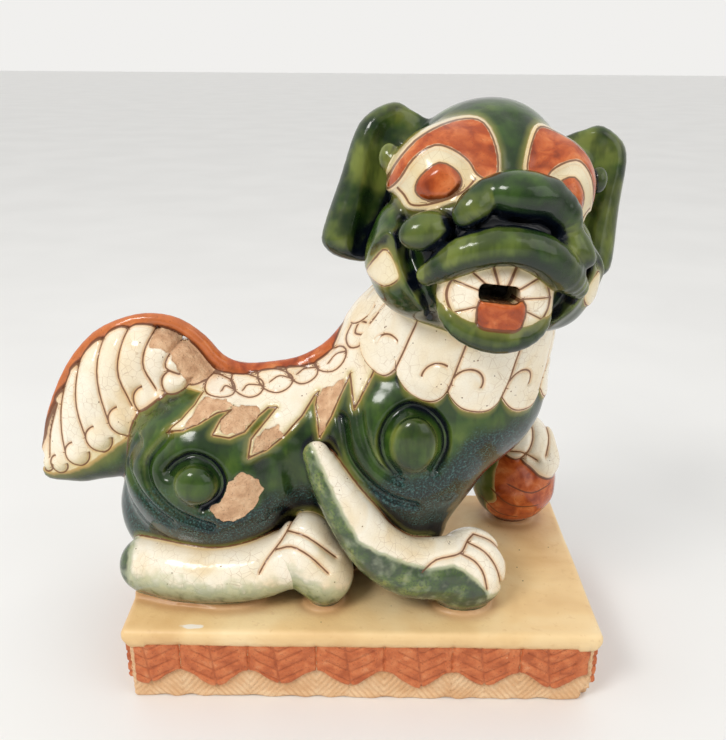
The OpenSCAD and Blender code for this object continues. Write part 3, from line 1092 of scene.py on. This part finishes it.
def add_mesh(name, points, quads):
    """A smooth-shaded object from points in millimetres and rows of four vertex numbers."""
    mesh = bpy.data.meshes.new(name)
    mesh.vertices.add(len(points))
    mesh.vertices.foreach_set("co", (points * MM).astype(np.float32).ravel())
    mesh.loops.add(quads.size)
    mesh.loops.foreach_set("vertex_index", quads.astype(np.int32).ravel())
    mesh.polygons.add(len(quads))
    mesh.polygons.foreach_set("loop_start", np.arange(0, quads.size, 4, dtype=np.int32))
    mesh.update(calc_edges=True)
    mesh.validate()
    mesh.polygons.foreach_set("use_smooth", np.ones(len(mesh.polygons), bool))
    piece = bpy.data.objects.new(name, mesh)
    bpy.context.scene.collection.objects.link(piece)
    return piece


# ----------------------------------------------------- what the glaze sees

BALL_STROKES = [[(62, 55), (70, 48), (80, 46)], [(66, 62), (76, 55), (90, 54)],
                [(74, 66), (86, 62), (96, 64)]]


def brow_lines(q, m):
    return inside_distance(from_front(m), BROW) - 0.4


def eye_lines(q, m):
    flat = from_front(m)
    return nearer(inside_distance(flat, PUPIL) - EYE_LINE, inside_distance(flat, EYE) + EYE_LINE)


def fang_lines(q, m):
    return inside_distance(from_front(m), FANG) - 0.5


def crown_lines(q, m):
    """The lines between the teeth and round the tongue."""
    return nearer(tooth_lines(q), inside_distance(from_front(q), TONGUE) - 0.4)


def ball_strokes(p):
    """Scratched strokes on the ball."""
    return lines_distance(from_side(p), BALL_STROKES)


LINES = {
    "body": body_lines, "tail": tail_lines, "mane_collar": collar_line,
    "right_foreleg": fore_toes, "right_fore_paw": fore_toes, "left_fore_paw": far_toes,
    "teeth_ring": on_head(crown_lines), "ball": ball_strokes,
}
for word, side in SIDES:
    LINES[word + "_hindleg"] = LINES[word + "_hind_paw"] = on_side(hind_toes, side)
    for part, lines in (("_eye", eye_lines), ("_fang", fang_lines), ("_brow", brow_lines)):
        LINES[word + part] = on_head(lines, side)
CHIPS = {"body": body_chip, "tail": tail_chip}


def brow_amber(q, m):
    return -inside_distance(from_front(m), BROW)


def hind_run(p):
    return np.maximum(0.85 * step(p[:, 2], 63, 42), step(p[:, 0], -99, -109))


def hind_paw_run(p):
    return step(p[:, 2] + 0.45 * (p[:, 0] + 25), 68, 43)


def fore_run(p):
    return step(-inside_distance(oblique(p), FORE_RUN), -1.5, 2.5)


def paw_run(p):
    return step(p[:, 2] + 0.25 * (p[:, 0] - 45), 56, 46)


RUNS = {
    "right_hindleg": hind_run, "left_hindleg": on_side(hind_run, 1),
    "right_hind_paw": hind_paw_run, "left_hind_paw": on_side(hind_paw_run, 1),
    "right_foreleg": fore_run, "right_fore_paw": lambda p: np.maximum(paw_run(p), fore_run(p)),
    "left_fore_paw": lambda p: 0.6 * step(p[:, 0], 76, 68),
}
POOL_X = [-110, -60, -20, 20, 50, 80]
POOL_TOP = [106, 103, 106, 118, 136, 140]
# Seams of the light glazes that carry a cut line
LINED_SEAMS = {
    "spine_ridge", "tail", "right_hindleg", "left_hindleg", "right_foreleg", "left_fore_paw", "tongue",
}


def pooling(p, name):
    """Where the green glaze ran thick and speckled: low on the body and under the head."""
    if name in ("body", "left_foreleg") or name.endswith("curl"):
        top = np.interp(p[:, 0], POOL_X, POOL_TOP)
        return step(p[:, 2] + 3 * wobble(p, 25, 21), top, top - 24)
    q = in_head(p)
    return 0.35 * step(q[:, 2] + 2 * wobble(p, 18, 22), -22, -44)


def closeness(piece, points, normals, side, *reaches):
    """0 to 1, where the surface comes near again: outwards (side 1) a hollow, inwards a crest."""
    total = np.zeros(len(points))
    for reach in reaches:
        there = side * piece.survey(points + side * normals * reach)[0]
        total += np.clip(1 - there / reach, 0, 1) / len(reaches)
    return total


def surface_facts(piece, points, normals):
    """Distances in mm to lines, borders and chips at each vertex, and the shape around it."""
    name = piece.group.name
    far = np.full(len(points), FAR)
    own = piece.group.at(points, FAR)
    line, green_near, light_near = far.copy(), far.copy(), far.copy()
    for g in piece.around:
        if g is piece.group or g.name in PLINTH:
            continue
        d = g.at(points)
        if g.glaze != piece.group.glaze and (g.name in LINED_SEAMS or name in LINED_SEAMS):
            line = nearer(line, (own - d) / 2)
        if g.glaze == GREEN and not (name == "mane_collar" and g.name == "body"):
            green_near = np.minimum(green_near, d)
        else:
            light_near = np.minimum(light_near, d)
    if name in ("right_foreleg", "right_hindleg", "left_hindleg"):
        line = np.where(RUNS[name](points) > 0.4, far, line)
    if name in LINES:
        line = nearer(line, LINES[name](points))
    green = np.where(light_near < FAR, np.maximum(light_near, 0), far)
    if name == "body":
        green = np.minimum(green, inside_distance(oblique(points), CAPE))
        line = np.where(green < 1.5, line, far)
    if piece.group.glaze != GREEN:
        green = -np.maximum(green_near, 0)
    if name == "tail":
        green = -0.55 * inside_distance(from_side(points), TAIL_BAND)
    amber = far if piece.group.glaze == AMBER else -far
    if name == "ball":
        amber = points[:, 0] - BALL_AT[0] + 13 - 3 * wobble(points, 12, 33)
        green = -amber
    if name.endswith("_brow"):
        amber = on_head(brow_amber, -1 if name.startswith("right") else 1)(points)
    return {
        "line": line,
        "beside": np.abs(line),
        # under: how far the surface faces down, which the green glaze darkens as painted shade.
        "under": step(-normals[:, 2], -0.15, 0.65),
        "green": green,
        "amber": amber,
        "chip": CHIPS[name](points) if name in CHIPS else -far,
        "runs": RUNS[name](points) if name in RUNS else 0 * far,
        "pool": pooling(points, name),
        # hollow and crest: how enclosed or how convex the surface is, used for pooled and thinned glaze
        # and for painted shade and highlights.
        "hollow": closeness(piece, points, normals, 1, 2.0, 6.0),
        "crest": closeness(piece, points, normals, -1, 4.0, 10.0),
    }


def plinth_facts(piece, points, normals):
    """The plinth's own marks: veins, combing and the flake at the slab's edge; and the nearness of the
    limbs and the hollows, which its painted shade follows.
    """
    name = piece.group.name
    far = np.full(len(points), FAR)
    veins = petal_veins(points) if name.startswith("petal") else far
    flake = np.hypot((points[:, 0] - SLAB_FLAKE[0]) / 5.5, (points[:, 1] - SLAB_FLAKE[1]) / 1.6)
    return {
        "line": veins,
        "beside": np.abs(veins),
        "comb": comb_lines(points) if name == "plinth_wall" else 0 * far,
        "chip": 1.5 * (1 - flake) + 0.4 * wobble(points, 4, 16),
        # Nearness of the limbs, for the slab's painted shade round the feet.
        "skirt": np.clip(limbs(points), -5, 40),
        "hollow": closeness(piece, points, normals, 1, 2.0),
    }


def build(job):
    """The slow part of one piece, done without touching Blender's data."""
    _, group, cut, size = job
    piece = Piece(group, cut)
    points, quads, normals = mesh_of(piece.field, piece.group.low, piece.group.high, size)
    facts = plinth_facts if group in PLINTH else surface_facts
    return points, quads, facts(piece, points, normals)


# --------------------------------------------------------------- materials

def rgb(red, green, blue):
    """A display colour, 0 to 255, as the linear value that a shader takes."""
    out = []
    for value in (red, green, blue):
        v = value / 255
        out.append(v / 12.92 if v <= 0.04045 else ((v + 0.055) / 1.055) ** 2.4)
    return tuple(out) + (1.0,)


def wire(tree, kind, inputs, **settings):
    """Adds a node, sets or links its inputs, and gives its outputs."""
    node = tree.nodes.new("ShaderNode" + kind)
    for name, value in settings.items():
        setattr(node, name, value)
    for name, value in inputs.items():
        plug(tree, node.inputs[name], value)
    return node.outputs


def plug(tree, socket, value):
    """Links the socket to another one, or sets it to a plain value."""
    if isinstance(value, bpy.types.NodeSocket):
        tree.links.new(value, socket)
    else:
        socket.default_value = value


class Look:
    """A node material, with short names for the nodes that the glazes share."""

    def __init__(self, name):
        self.material = bpy.data.materials.new(name)
        self.material.use_nodes = True
        self.tree = self.material.node_tree
        self.shader = self.tree.nodes["Principled BSDF"]
        self.place = self.node("TexCoord", {})["Object"]

    def node(self, kind, inputs, **settings):
        return wire(self.tree, kind, inputs, **settings)

    def math(self, operation, a, b=0.0):
        return self.node("Math", {0: a, 1: b}, operation=operation)[0]

    def attribute(self, name):
        return self.node("Attribute", {}, attribute_name=name)["Fac"]

    def line_distance(self):
        """Distance to the nearest line. The signed one is sharp, the plain one never flips."""
        sharp = self.math("ABSOLUTE", self.attribute("line"))
        return self.math("MAXIMUM", sharp, self.math("SUBTRACT", self.attribute("beside"), VOXEL))

    def noise(self, size_mm, detail=3.0, distortion=0.0, place=None):
        """Cloudy noise whose features are about that size."""
        place = self.place if place is None else place
        return self.node("TexNoise", {"Vector": place, "Scale": 1 / (size_mm * MM), "Detail": detail,
                                      "Distortion": distortion})["Fac"]

    def streaks(self, size_mm):
        """Noise drawn out downwards, like glaze that ran."""
        drawn_out = self.node("VectorMath", {0: self.place, 1: (1.0, 1.0, 0.3)}, operation="MULTIPLY")
        return self.noise(size_mm, place=drawn_out[0])

    def cells(self, size_mm, feature):
        return self.node("TexVoronoi", {"Vector": self.place, "Scale": 1 / (size_mm * MM)},
                         feature=feature)["Distance"]

    def step(self, value, start, end):
        """Eases from 0 where value is start to 1 where it is end."""
        rising = start < end
        return self.node("MapRange", {
            "Value": value, "From Min": min(start, end), "From Max": max(start, end),
            "To Min": 0.0 if rising else 1.0, "To Max": 1.0 if rising else 0.0,
        }, interpolation_type="SMOOTHSTEP")["Result"]

    def wavering(self, value, amount, size_mm):
        """value moved up and down a little, for hand-drawn edges."""
        shake = self.math("MULTIPLY", self.math("SUBTRACT", self.noise(size_mm, 2.0), 0.5), 2 * amount)
        return self.math("ADD", value, shake)

    def times(self, a, b):
        return self.math("MULTIPLY", a, b)

    def mix(self, amount, a, b):
        return self.node("Mix", {"Factor": amount, 6: a, 7: b}, data_type="RGBA")[2]

    def over(self, base, mask, share, colour):
        """base with a display colour laid over it, by up to that share where mask is 1."""
        return self.mix(self.times(mask, share), base, rgb(*colour))

    def ramp(self, value, stops):
        """value turned into a colour, from stops of (place, red, green, blue)."""
        node = self.tree.nodes.new("ShaderNodeValToRGB")
        stop_list = node.color_ramp.elements
        while len(stop_list) < len(stops):
            stop_list.new(0.5)
        for stop, (at, *colour) in zip(stop_list, stops):
            stop.position = at
            stop.color = rgb(*colour)
        plug(self.tree, node.inputs["Fac"], value)
        return node.outputs["Color"]

    def relief(self, height, depth_mm):
        bump = self.node("Bump", {"Height": height, "Distance": depth_mm * MM, "Strength": 1.0})
        plug(self.tree, self.shader.inputs["Normal"], bump["Normal"])

    def finish(self, colour, roughness):
        plug(self.tree, self.shader.inputs["Base Color"], colour)
        plug(self.tree, self.shader.inputs["Roughness"], roughness)
        return self.material


def specks(look, size_mm, share, radius=0.16):
    """Small round pin marks. share is how many cells have one."""
    dot = look.step(look.cells(size_mm, "F1"), radius, radius * 0.6)
    chosen = look.step(look.noise(size_mm * 3.1, 1.0), 1 - share, 1 - share + 0.02)
    return look.times(dot, chosen)


def crackle(look, size_mm, width):
    """The fine net of cracks in the light glaze."""
    return look.step(look.cells(size_mm, "DISTANCE_TO_EDGE"), width, width * 0.3)


def cream_colour(look):
    base = look.ramp(look.noise(22, 3.0, 0.4), [
        (0.30, 238, 217, 178), (0.45, 248, 236, 210), (0.60, 251, 243, 224),
        (0.75, 242, 225, 192)])
    cracks = look.times(crackle(look, 3.6, 0.035), look.step(look.noise(12, 2.0), 0.35, 0.6))
    base = look.over(base, cracks, 0.40, (180, 146, 108))
    base = look.over(base, crackle(look, 1.4, 0.05), 0.12, (186, 160, 126))
    # Darker yellow in hollows: glaze that pooled there, and painted shade.
    base = look.over(base, look.attribute("hollow"), 0.40, (206, 162, 110))
    return look.mix(specks(look, 2.6, 0.42), base, rgb(116, 78, 46))


def green_colour(look):
    """Deep green, darker on the undersides where it ran thick and where painted shade falls; olive
    where it thinned over a crest, with a painted highlight there; near black in hollows, where it
    pooled, with painted shade.
    """
    hollow = look.attribute("hollow")
    crest = look.attribute("crest")
    base = look.ramp(look.noise(18, 3.0, 0.3), [
        (0.26, 15, 32, 12), (0.42, 32, 56, 18), (0.56, 54, 82, 26),
        (0.74, 84, 106, 38)])
    # Olive on crests: partly glaze that thinned there, partly a painted highlight.
    thin_and_highlight = look.times(look.step(crest, 0.14, 0.50), look.step(look.noise(18, 3.0), 0.36, 0.60))
    base = look.over(base, thin_and_highlight, 0.80, (126, 134, 62))
    base = look.over(base, look.step(look.streaks(7), 0.44, 0.62), 0.50, (20, 36, 18))
    # Darker green on downward-facing surfaces: painted shade, along with glaze that ran thick there.
    thick = look.step(look.wavering(look.attribute("under"), 0.3, 9), 0.25, 0.9)
    base = look.over(base, thick, 0.65, (18, 32, 28))
    grain = look.ramp(look.noise(0.9, 2.0), [
        (0.36, 8, 16, 16), (0.48, 16, 38, 40), (0.58, 30, 66, 68),
        (0.70, 76, 110, 106)])
    pool = look.step(look.wavering(look.attribute("pool"), 0.45, 11), 0.25, 0.95)
    base = look.mix(look.times(pool, 0.85), base, grain)
    # Navy in hollows, and near black in the deepest ones below: painted shade, along with glaze that
    # pooled there.
    base = look.mix(look.step(look.wavering(hollow, 0.12, 6), 0.22, 0.55), base, rgb(12, 18, 28))
    border = look.wavering(look.attribute("green"), 0.5, 4)
    base = look.over(base, look.step(border, 4.0, 0.9), 0.65, (128, 128, 56))
    base = look.over(base, look.step(border, 1.4, 0.3), 0.80, (206, 168, 104))
    # Near black in the deepest hollows: painted shade.
    return look.mix(look.step(hollow, 0.80, 0.95), base, rgb(4, 4, 5))


def amber_colour(look):
    base = look.ramp(look.noise(7, 4.0, 0.5), [
        (0.30, 132, 50, 14), (0.45, 172, 74, 26), (0.58, 198, 100, 46),
        (0.74, 218, 136, 80)])
    # Lighter on crests: glaze that thinned there, and a painted highlight.
    base = look.over(base, look.step(look.attribute("crest"), 0.3, 0.8), 0.6, (214, 130, 76))
    grit = look.step(look.noise(0.8, 2.0), 0.62, 0.72)
    base = look.over(base, grit, 0.40, (112, 52, 26))
    # Dark brown in hollows: glaze that pooled there, and painted shade.
    return look.mix(look.step(look.attribute("hollow"), 0.35, 0.8), base, rgb(104, 46, 20))


def clay_colour(look):
    base = look.ramp(look.noise(4, 5.0), [
        (0.30, 196, 152, 116), (0.50, 218, 176, 138), (0.70, 234, 198, 160)])
    grit = look.step(look.noise(0.7, 2.0), 0.60, 0.72)
    return look.over(base, grit, 0.6, (134, 98, 78))


def glazed(name):
    """The fired ware: one body under cream, green and amber glazes, told apart by the marks."""
    look = Look(name)
    line = look.wavering(look.line_distance(), 0.12, 3)
    green = look.wavering(look.attribute("green"), 0.20, 3)
    chip = look.wavering(look.attribute("chip"), 0.7, 2.5)
    runs = look.wavering(look.attribute("runs"), 0.42, 5)
    cream = cream_colour(look)
    cream = look.over(cream, look.step(line, 1.5, 0.3), 0.55, (230, 178, 118))
    cream = look.over(cream, look.step(green, -3.6, -0.4), 0.50, (206, 190, 122))
    thin_green = look.ramp(look.noise(5, 4.0), [
        (0.34, 120, 138, 104), (0.50, 156, 166, 128), (0.66, 190, 192, 150)])
    cream = look.mix(look.times(look.step(runs, 0.15, 0.60), 0.80), cream, thin_green)
    deep_green = look.ramp(look.noise(9, 4.0, 0.4), [
        (0.34, 16, 42, 32), (0.48, 34, 68, 30), (0.60, 76, 102, 42),
        (0.72, 136, 144, 74)])
    dots = look.step(look.noise(1.0, 2.0), 0.50, 0.62)
    deep_green = look.over(deep_green, dots, 0.6, (20, 46, 44))
    cream = look.mix(look.times(look.step(runs, 0.62, 1.05), 0.90), cream, deep_green)
    colour = look.mix(look.step(green, -0.25, 0.25), cream, green_colour(look))
    is_amber = look.step(look.wavering(look.attribute("amber"), 0.35, 2.5), -0.2, 0.25)
    colour = look.mix(is_amber, colour, amber_colour(look))
    colour = look.over(colour, look.step(line, 0.50, 0.24), 0.88, (104, 56, 28))
    bare = look.step(chip, -0.12, 0.12)
    colour = look.mix(bare, colour, clay_colour(look))
    rough = look.math("ADD", 0.10, look.times(look.noise(6, 2.0), 0.10))
    rough = look.math("MAXIMUM", rough, look.times(bare, 0.88))
    waver = look.times(look.noise(9, 2.0), 0.5)
    grit = look.times(look.times(look.noise(1.2, 4.0), bare), 0.9)
    look.relief(look.math("ADD", waver, grit), 0.7)
    return look.finish(colour, rough)


def slab_glaze(name):
    """Thin buff glaze, satin, with pin specks and one pale flake at the edge."""
    look = Look(name)
    base = look.ramp(look.noise(34, 3.0, 0.3), [
        (0.32, 226, 185, 128), (0.50, 241, 206, 150), (0.68, 248, 220, 170)])
    # Darker near the animal's feet: painted shade.
    base = look.over(base, look.step(look.attribute("skirt"), 9, 1.5), 0.30, (216, 166, 108))
    # Darker in hollows: glaze that pooled there, and painted shade.
    base = look.over(base, look.attribute("hollow"), 0.6, (176, 112, 66))
    base = look.over(base, look.step(look.noise(3, 3.0), 0.60, 0.72), 0.22, (204, 156, 102))
    base = look.mix(specks(look, 3.7, 0.36, 0.12), base, rgb(110, 78, 50))
    base = look.mix(look.step(look.attribute("chip"), -0.1, 0.3), base, rgb(246, 238, 224))
    look.relief(look.noise(3.5, 4.0), 0.25)
    rough = look.math("ADD", 0.30, look.times(look.noise(12, 2.0), 0.22))
    return look.finish(base, rough)


def petal_glaze(name):
    """Matte orange-brown slip over the petals, darker in the veins."""
    look = Look(name)
    base = look.ramp(look.noise(5, 4.0, 0.4), [
        (0.30, 176, 88, 44), (0.48, 200, 108, 60), (0.62, 212, 124, 74),
        (0.78, 226, 154, 108)])
    base = look.over(base, look.step(look.line_distance(), 0.7, 0.1), 0.35, (140, 64, 32))
    grit = look.step(look.noise(0.8, 2.0), 0.58, 0.70)
    base = look.over(base, grit, 0.45, (128, 62, 36))
    base = look.mix(specks(look, 2.2, 0.3), base, rgb(236, 196, 150))
    look.relief(look.noise(1.2, 4.0), 0.35)
    return look.finish(base, 0.55)


def bare_clay(name):
    """Unglazed combed clay, darker between the comb's ridges and in hollows, which is painted shade."""
    look = Look(name)
    base = look.ramp(look.noise(9, 4.0), [
        (0.30, 224, 178, 130), (0.50, 238, 198, 152), (0.70, 246, 214, 172)])
    # Darker in the comb's furrows: painted shade.
    furrow = look.step(look.attribute("comb"), 0.2, -0.8)
    base = look.over(base, furrow, 0.38, (196, 140, 92))
    # Darker in hollows: painted shade.
    base = look.over(base, look.attribute("hollow"), 0.6, (158, 104, 66))
    grit = look.step(look.noise(1.0, 2.0), 0.62, 0.74)
    base = look.over(base, grit, 0.35, (160, 112, 76))
    look.relief(look.noise(1.3, 4.0), 0.4)
    return look.finish(base, 0.82)


def floor_paint(name):
    look = Look(name)
    base = look.ramp(look.noise(160, 2.0), [(0.35, 234, 234, 233), (0.65, 238, 238, 237)])
    return look.finish(base, 0.5)


LOOKS = {
    GREEN: glazed(GREEN), CREAM: glazed(CREAM), AMBER: glazed(AMBER),
    BUFF: slab_glaze(BUFF), PETAL: petal_glaze(PETAL), BARE: bare_clay(BARE),
}


# ------------------------------------------------------------- the pieces

HEAD_CUT = 4
HALVES = [
    ("body_right_half", "body", half_of(in_row, 1)),
    ("body_left_half", "body", half_of(in_row, -1)),
    ("head_front_shell", "head", half_of(in_head, 1, HEAD_CUT)),
    ("head_back_shell", "head", half_of(in_head, -1, HEAD_CUT)),
]
WHOLE = [(name, name, None) for name in GROUPS if name not in ("body", "head")]
# Grid sizes, as a share of VOXEL, for pieces whose detail is finer or coarser
GRID_SHARE = {"petal": 0.85, "plinth_slab": 1.6, "plinth_wall": 1.15, "teeth": 0.55, "tongue": 0.7,
         "right_eye": 0.65, "left_eye": 0.65, "right_pupil": 0.7, "left_pupil": 0.7}


def piece_jobs():
    """What build needs for each piece: its name, group, cut and grid size."""
    jobs = []
    for name, group, cut in HALVES + WHOLE:
        scale = next((s for word, s in GRID_SHARE.items() if name.startswith(word)), 1.0)
        jobs.append((name, group, cut, VOXEL * scale))
    return jobs


def add_piece(job, made):
    """Puts a built piece in the scene, with its marks and glaze, on the body that it rides."""
    name, group = job[:2]
    points, quads, facts = made
    piece = add_mesh(name + "_visual", points, quads)
    for key, values in facts.items():
        layer = piece.data.attributes.new(key, "FLOAT", "POINT")
        layer.data.foreach_set("value", np.asarray(values).astype(np.float32))
    glaze = GROUPS[group].glaze
    piece.data.materials.append(LOOKS[glaze])
    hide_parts(name)
    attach(piece, "root")


jobs = piece_jobs()
with ThreadPoolExecutor(WORKERS) as pool:
    for job, made in zip(jobs, pool.map(build, jobs)):
        add_piece(job, made)


# ---------------------------------------------------------- camera, studio

LENS = 41.35
CAMERA_AT = (1.5, -366.6, 272.4)
CAMERA_YAW = math.radians(-0.33)
CAMERA_PITCH = math.radians(20.5)
CAMERA_ROLL = math.radians(0.41)
FLOOR_HALF = 12.0
BACKDROP = 0.88
BEHIND_CAMERA = 0.32


def add_camera():
    """Stands where the statue was seen from: in front, above, looking down."""
    data = bpy.data.cameras.new("camera")
    data.lens = LENS
    camera = bpy.data.objects.new("camera", data)
    yaw, pitch, roll = CAMERA_YAW, CAMERA_PITCH, CAMERA_ROLL
    level = math.cos(pitch)
    ahead = np.array([math.sin(yaw) * level, math.cos(yaw) * level, -math.sin(pitch)])
    right = np.array([math.cos(yaw), -math.sin(yaw), 0])
    up = np.cross(right, ahead)
    right, up = (math.cos(roll) * right + math.sin(roll) * up,
                 math.cos(roll) * up - math.sin(roll) * right)
    place = np.eye(4)
    place[:3, 0], place[:3, 1], place[:3, 2] = right, up, -ahead
    place[:3, 3] = np.array(CAMERA_AT) * MM
    camera.matrix_world = Matrix(place.tolist())
    bpy.context.scene.collection.objects.link(camera)
    bpy.context.scene.camera = camera


def add_floor():
    mesh = bpy.data.meshes.new("floor")
    corners = [(FLOOR_HALF * x, FLOOR_HALF * y, 0) for x, y in ((-1, -1), (1, -1), (1, 1), (-1, 1))]
    mesh.from_pydata(corners, [], [(0, 1, 2, 3)])
    floor = bpy.data.objects.new("floor", mesh)
    floor.data.materials.append(floor_paint("floor_paint"))
    bpy.context.scene.collection.objects.link(floor)


def add_light(name, at, size, power, colour=(1, 1, 1)):
    """A soft rectangular light that faces the statue."""
    data = bpy.data.lights.new(name, "AREA")
    data.shape = "RECTANGLE"
    data.size, data.size_y = size
    data.energy = power
    data.color = colour
    light = bpy.data.objects.new(name, data)
    towards = Vector((0.0, 0.0, 0.12)) - Vector(at)
    light.rotation_euler = towards.to_track_quat("-Z", "Y").to_euler()
    light.location = at
    bpy.context.scene.collection.objects.link(light)


def add_world():
    """Plain surroundings: bright behind the statue and dim behind the camera, so that dark
    glaze stays dark, but even where the camera sees them directly.
    """
    world = bpy.data.worlds.new("studio")
    bpy.context.scene.world = world
    world.use_nodes = True
    tree = world.node_tree
    backdrop = tree.nodes["Background"]
    backdrop.inputs["Color"].default_value = (1.0, 0.99, 0.97, 1)
    way = wire(tree, "TexCoord", {})["Generated"]
    lean = wire(tree, "VectorMath", {0: way, 1: (0.0, 0.6, 0.8)}, operation="DOT_PRODUCT")["Value"]
    fade = wire(tree, "MapRange", {"Value": lean, "From Min": -0.4, "From Max": 0.45,
                                   "To Min": BEHIND_CAMERA, "To Max": BACKDROP})["Result"]
    seen = wire(tree, "LightPath", {})["Is Camera Ray"]
    plug(tree, backdrop.inputs["Strength"], wire(tree, "Mix", {0: seen, 2: fade, 3: BACKDROP})[0])


add_camera()
add_floor()
add_light("window", (-0.75, -0.85, 1.15), (0.5, 0.4), 10, (1.0, 0.98, 0.95))
add_light("fill", (0.9, -0.7, 0.8), (1.0, 1.0), 3)
add_world()
bpy.context.scene.view_settings.view_transform = "Standard"
